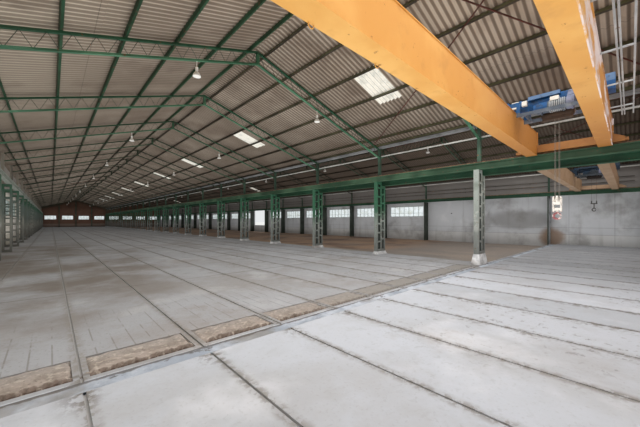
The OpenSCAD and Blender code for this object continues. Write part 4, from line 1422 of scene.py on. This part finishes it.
def rubble_height(x, y, low_x, high_x):
    """Lumps behind a scalloped front, a smooth bed after them, and a ragged groove at the other rims."""
    rim = max(low_x - x, x - high_x, y - POCKET_END) + bumps(x, y, 70.0, 4.0) * 0.0030
    front = y - POCKET_START - 0.0045 - bumps(x, 0.0, 90.0) * 0.0030
    front -= abs(math.sin(x * math.pi / SCALLOP)) * 0.0032
    filled = smooth_step(front / 0.0032)
    lumps = bumps(x, y, 120.0, 2.0) * 0.0011 + bumps(x, y, 300.0, 5.0) * 0.0007
    crest = 1 - smooth_step(front / 0.014)
    relief = lumps * (0.3 + 1.1 * crest) + crest * 0.0020 + bumps(x, y, 25.0, 7.0) * 0.0004
    top = FLOOR_TOP + 0.0001 + relief - smooth_step((rim + 0.005) / 0.008) * 0.0040
    bed = POCKET_FLOOR + BED_LIFT
    return bed + (top - bed) * filled


beds = Shape()
for k in range(2, POCKET_COUNT + 1):
    low_x = SLAB_EDGE - k * SLAB_PITCH + POCKET_MARGIN
    high_x = SLAB_EDGE - (k - 1) * SLAB_PITCH - POCKET_MARGIN + POCKET_SHIFT
    grid(beds, steps(low_x - SPILL, high_x + SPILL, RUBBLE_GRID[0]),
         steps(POCKET_START, POCKET_END + SPILL, RUBBLE_GRID[1]),
         lambda x, y: rubble_height(x, y, low_x, high_x))
beds.build("pocket_rubble", "hall", tan_rubble())

# %% [markdown]
# The channel's bed is the same kind of grid, with a shallow trough for its height. Displacement in a
# shader would be lost in the export, so both beds are real geometry.

# %% Smear the channel
def mortar_height(x, y):
    """A shallow trough between the channel's lips, rough along both."""
    across = (y - CHANNEL_START) / (CHANNEL_END - CHANNEL_START)
    dip = math.sin(math.pi * max(0.0, min(1.0, across)))
    rough = bumps(x, y, 60.0, 3.0) * 0.0006 + bumps(x, y, 220.0, 1.0) * 0.0005
    return FLOOR_TOP - 0.0004 - 0.0028 * dip + rough * (0.6 + dip)


trough = Shape()
trough_end = INNER_X - 0.002
grid(trough, steps(-trough_end, trough_end, MORTAR_GRID[0]),
     steps(CHANNEL_START, CHANNEL_END, MORTAR_GRID[1]), mortar_height)
trough.build("channel_bed", "hall", channel_mortar())

# %% [markdown]
# ## Windows
# The solids close each window with one sheet of glass. Here the sheets get their steel frames: a rim, a
# transom and upright bars. One tree grows a frame on each window's lower corner, and a turn sets it
# along the wall.

# %% Frame the windows
SILL = FLOOR_TOP + 0.225
FRAME_DEPTH = 0.007
RIM = 0.003
BAR = 0.0018
JAMB = 0.004
TRANSOM = 0.34
SIDE_WIDTH = 0.400
SIDE_PANES = 7
END_WIDTH = 0.250
END_PANES = 4
END_WINDOWS = 4
OPEN_BAY = 9
BLIND_BAYS = 3
left_low, left_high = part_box("left_window_glass")
right_low, right_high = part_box("right_window_glass")
end_low, end_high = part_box("end_window_glass")
SIDE_PLANES = ((left_low.x + left_high.x) / 2, (right_low.x + right_high.x) / 2)


def window_tree():
    """Geometry Nodes: the frame of a window on each place, its lower corner."""
    g = Growth("window_frame", width=SIDE_WIDTH, height=left_high.z - left_low.z, panes=SIDE_PANES,
               turn=(0.0, 0.0, 0.0))
    width, height, panes = g.given["width"], g.given["height"], g.given["panes"]
    lines = [g.block((width, FRAME_DEPTH, thick), (width / 2, 0.0, (height - RIM) * part + RIM / 2))
             for part, thick in ((0.0, RIM), (TRANSOM, BAR), (1.0, RIM))]
    index = g.node("GeometryNodeInputIndex")
    outermost = index.below(0.5) + index.above(panes - 0.5)
    uprights = g.repeat(
        g.block((1.0, FRAME_DEPTH, height), (0.0, 0.0, height / 2)),
        g.row(panes + 1, g.vector(width / panes)),
        Scale=g.vector(outermost * (JAMB - BAR) + BAR, 1.0, 1.0))
    return g.close(g.repeat(g.join(*lines, uprights), g.given["places"], Rotation=g.given["turn"]))


starts = [frame_y(index) + (BAY - SIDE_WIDTH) / 2 for index in range(FRAME_COUNT - 1)]
glazed = [start for index, start in enumerate(starts) if index >= BLIND_BAYS and index != OPEN_BAY]
side_places = [(plane, start, SILL) for plane, row in zip(SIDE_PLANES, (starts, glazed)) for start in row]
end_planes = (end_low.y + RIM / 2, end_high.y - RIM / 2)
end_places = [(side * (k + 0.5) * NAVE / END_WINDOWS - END_WIDTH / 2, plane, SILL)
              for plane in end_planes for side in (-1, 1) for k in range(END_WINDOWS)]
frame_green = chipped_paint("frame_green", "#56685c", "#7d8a7f", wear=0.4)
window = window_tree()
frames = Shape()
frames.take(window.mesh("side_frames", frame_green, side_places, turn=(0.0, 0.0, math.pi / 2)))
frames.take(window.mesh("end_frames", frame_green, end_places, width=END_WIDTH, panes=END_PANES))
frames.build("window_frames", "hall", frame_green)

# %% [markdown]
# Outside, each window of the long walls has a cast sill. It is a plain block, repeated on each place by
# the shortest tree of the lesson.

# %% Lay the sills
SILL_SIZE = (0.008, SIDE_WIDTH + 0.012, 0.005)
SILL_DROP = 0.003


def block_tree():
    """Geometry Nodes: a block on each place, its middle."""
    g = Growth("blocks", size=(1.0, 1.0, 1.0))
    cube = g.node("GeometryNodeMeshCube", None, {"Size": g.given["size"]})
    return g.close(g.repeat(cube, g.given["places"]))


sill_x = OUTER_X + SILL_DROP
sill_places = [(x, start + SIDE_WIDTH / 2, SILL - SILL_DROP)
               for x, row in ((-sill_x, starts), (sill_x, glazed)) for start in row]
sills = block_tree().mesh("window_sills", plinths, sill_places, size=SILL_SIZE)
place_piece("window_sills", sills, "hall")

# %% [markdown]
# ## Rails and rods
# Three conductor rails run along the right wall above the runway, on short brackets. One tree grows a
# rail with its brackets at each of the three heights.

# %% Run the wall rails
RAIL_HEIGHTS = (0.550, 0.480, 0.448)
RAIL_OFF = 0.012
RAIL_END = 0.05
RAIL_SIZE = (0.0030, 0.0044)
BRACKET_SIZE = (RAIL_OFF + 0.002, 0.003, 0.0012)
BRACKET_START = 0.075
HANGER = (0.0016, 0.006)
HANGER_DROP = 0.0045


def rail_tree():
    """Geometry Nodes: on each place a rail along the hall, with a bracket and a hanger at every step."""
    g = Growth("conductor_rail", length=1.0, count=2, step=BAY / 2)
    width, thick = RAIL_SIZE
    rail = g.block((width, g.given["length"], thick), (0.0, g.given["length"] / 2, 0.0))
    bracket = g.block(BRACKET_SIZE, (RAIL_OFF / 2, 0.0, thick / 2))
    hanger = g.node("GeometryNodeTransform", None, {
        "Geometry": g.rod(*HANGER, 6), "Translation": (0.0, 0.0, -HANGER_DROP)})
    fittings = g.repeat(g.join(bracket, hanger),
                        g.row(g.given["count"], g.vector(0.0, g.given["step"]), (0.0, BRACKET_START, 0.0)))
    return g.close(g.repeat(g.join(rail, fittings), g.given["places"]))


rail_places = [(INNER_X - RAIL_OFF, frame_y(0) + RAIL_END, FLOOR_TOP + height) for height in RAIL_HEIGHTS]
rail_length = frame_y(FRAME_COUNT - 1) - frame_y(0) - 2 * RAIL_END
wall_rails = rail_tree().mesh("wall_rails", dark_iron, rail_places, length=rail_length,
                              count=2 * (FRAME_COUNT - 1))
place_piece("wall_rails", wall_rails, "hall")

# %% [markdown]
# Thin rods brace the slopes near both gables and in the middle of the hall. One runs from the ridge to
# the foot over two bays, and a shorter one crosses it. There are only a few, so each is a tube along
# its points, and a loop over the slopes places them.

# %% Brace the roof
BRACED_BAYS = (1, 11, 21)
ROD_RADIUS = 0.0022
ROD_DROP = 0.0032
LONG_ROD = ((-1, 0.004), (0, 0.359), (1, 0.700))
SHORT_ROD = ((-1, 0.690), (0, 0.004))

rod_red = chipped_paint("rod_red", "#45261f", "#55312a", wear=0.5, roughness=0.7)
rods = Shape()
for nave, hand, ridge, side in SLOPES:
    for index in BRACED_BAYS:
        for rod in (LONG_ROD, SHORT_ROD):
            places = [(ridge + side * away, frame_y(index + frame), rafter_top(away) - ROD_DROP)
                      for frame, away in rod]
            for start, end in zip(places, places[1:]):
                rods.tube([start, end], ROD_RADIUS)
rods.build("bracing_rods", "hall", rod_red)

# %% [markdown]
# ## Crane fittings
# Small things tell the size of the cranes. Each girder ends in a plate that is bolted to the end truck,
# with a column of bolts on both sides of its web. A bolt repeats by rule, so a tree sets a row of round
# studs on each place.

# %% Bolt the girders to the end trucks
BOLT_ROWS = 3
BOLT_PITCH = 0.014
BOLT_RADIUS = 0.0016
BOLT_SUNK = 0.0045
BOLT_PROUD = 0.0014
BOLT_SPREAD = 0.0125
BOLT_FOOT = 0.010
PLATE_MIDDLE = 0.0180
TO_X = (0.0, math.pi / 2, 0.0)


def stud_tree():
    """Geometry Nodes: on each place a row of round studs."""
    g = Growth("stud_rows", radius=BOLT_RADIUS, length=BOLT_SUNK + BOLT_PROUD, sides=6, count=BOLT_ROWS,
               step=(0.0, 0.0, BOLT_PITCH), turn=TO_X)
    given = g.given
    stud = g.rod(given["radius"], given["length"], given["sides"])
    row = g.repeat(stud, g.row(given["count"], given["step"]), Rotation=given["turn"])
    return g.close(g.repeat(row, given["places"]))


studs = stud_tree()
for number, finish in ((1, truck_orange), (2, dusty_orange)):
    name = "crane_%d_bolts" % number
    low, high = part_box("crane_%d_girders" % number)
    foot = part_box("crane_%d_end_trucks" % number)[1].z + BOLT_FOOT
    inward = (BOLT_SUNK - BOLT_PROUD) / 2
    places = [(x, middle + across, foot) for x in (low.x + inward, high.x - inward)
              for middle in (low.y + PLATE_MIDDLE, high.y - PLATE_MIDDLE)
              for across in (-BOLT_SPREAD, BOLT_SPREAD)]
    place_piece(name, studs.mesh(name, finish, places), "crane_%d_bridge" % number)

# %% [markdown]
# Two open wire eyes hang under the far girder. They are only two, so each is a tube bent along points
# on a circle.

# %% Bend the wire eyes
EYE_PLACES = (-1.084, -0.954)
EYE_RADIUS = 0.0042
EYE_WIRE = 0.0007
EYE_TURNS = range(30, 350, 20)

girder_low, girder_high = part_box("crane_1_girders")
eyes = Shape()
for x in EYE_PLACES:
    centre = Vector((x, girder_high.y - GIRDER_CAP, girder_low.z - EYE_RADIUS + GIRDER_CAP))
    eyes.tube([centre + Vector((math.sin(a), 0, math.cos(a))) * EYE_RADIUS
               for a in map(math.radians, EYE_TURNS)], EYE_WIRE)
eyes.build("girder_eyes", "crane_1_bridge", orange)

# %% [markdown]
# Each hoist's motor has cooling fins. To a tree they are the same thing as bolts, a row of round studs,
# only larger and closer, so the bolts' tree makes them with other sizes. The junction box and the
# brackets beside the winch are small boxes.

# %% Fit out the hoists
FIN_COUNT = 9
FIN_PITCH = 0.0038
FIN_THICK = 0.0014
FIN_RADIUS = 0.0168
FIRST_FIN = (-0.020, -0.0313, -0.005)
TO_Y = (math.pi / 2, 0.0, 0.0)
HOIST_BOXES = (
    ((-0.0120, 0.058, 0.0210), (0.012, 0.012, 0.013)),
    ((-0.0405, 0.074, 0.0120), (0.006, 0.016, 0.018)),
    ((-0.0260, -0.011, 0.0115), (0.016, 0.018, 0.010)),
)

bare_white = chipped_paint("bare_white", "#d9d6cd", "#c6c2b8", wear=0.2)
for number, box_finish, fin_finish in ((1, bare_white, light_grey), (2, small_hoist, small_hoist)):
    origin = Vector(crane_origin(number))
    body = "crane_%d_trolley_body" % number
    name = "crane_%d_motor_fins" % number
    fins = studs.mesh(name, fin_finish, [tuple(origin + Vector(FIRST_FIN))], radius=FIN_RADIUS,
                      length=FIN_THICK, sides=24, count=FIN_COUNT, step=(0.0, FIN_PITCH, 0.0), turn=TO_Y)
    place_piece(name, fins, body)
    boxes = Shape()
    for middle, size in HOIST_BOXES:
        boxes.box(origin + Vector(middle), size)
    boxes.build("crane_%d_junction_box" % number, body, box_finish)
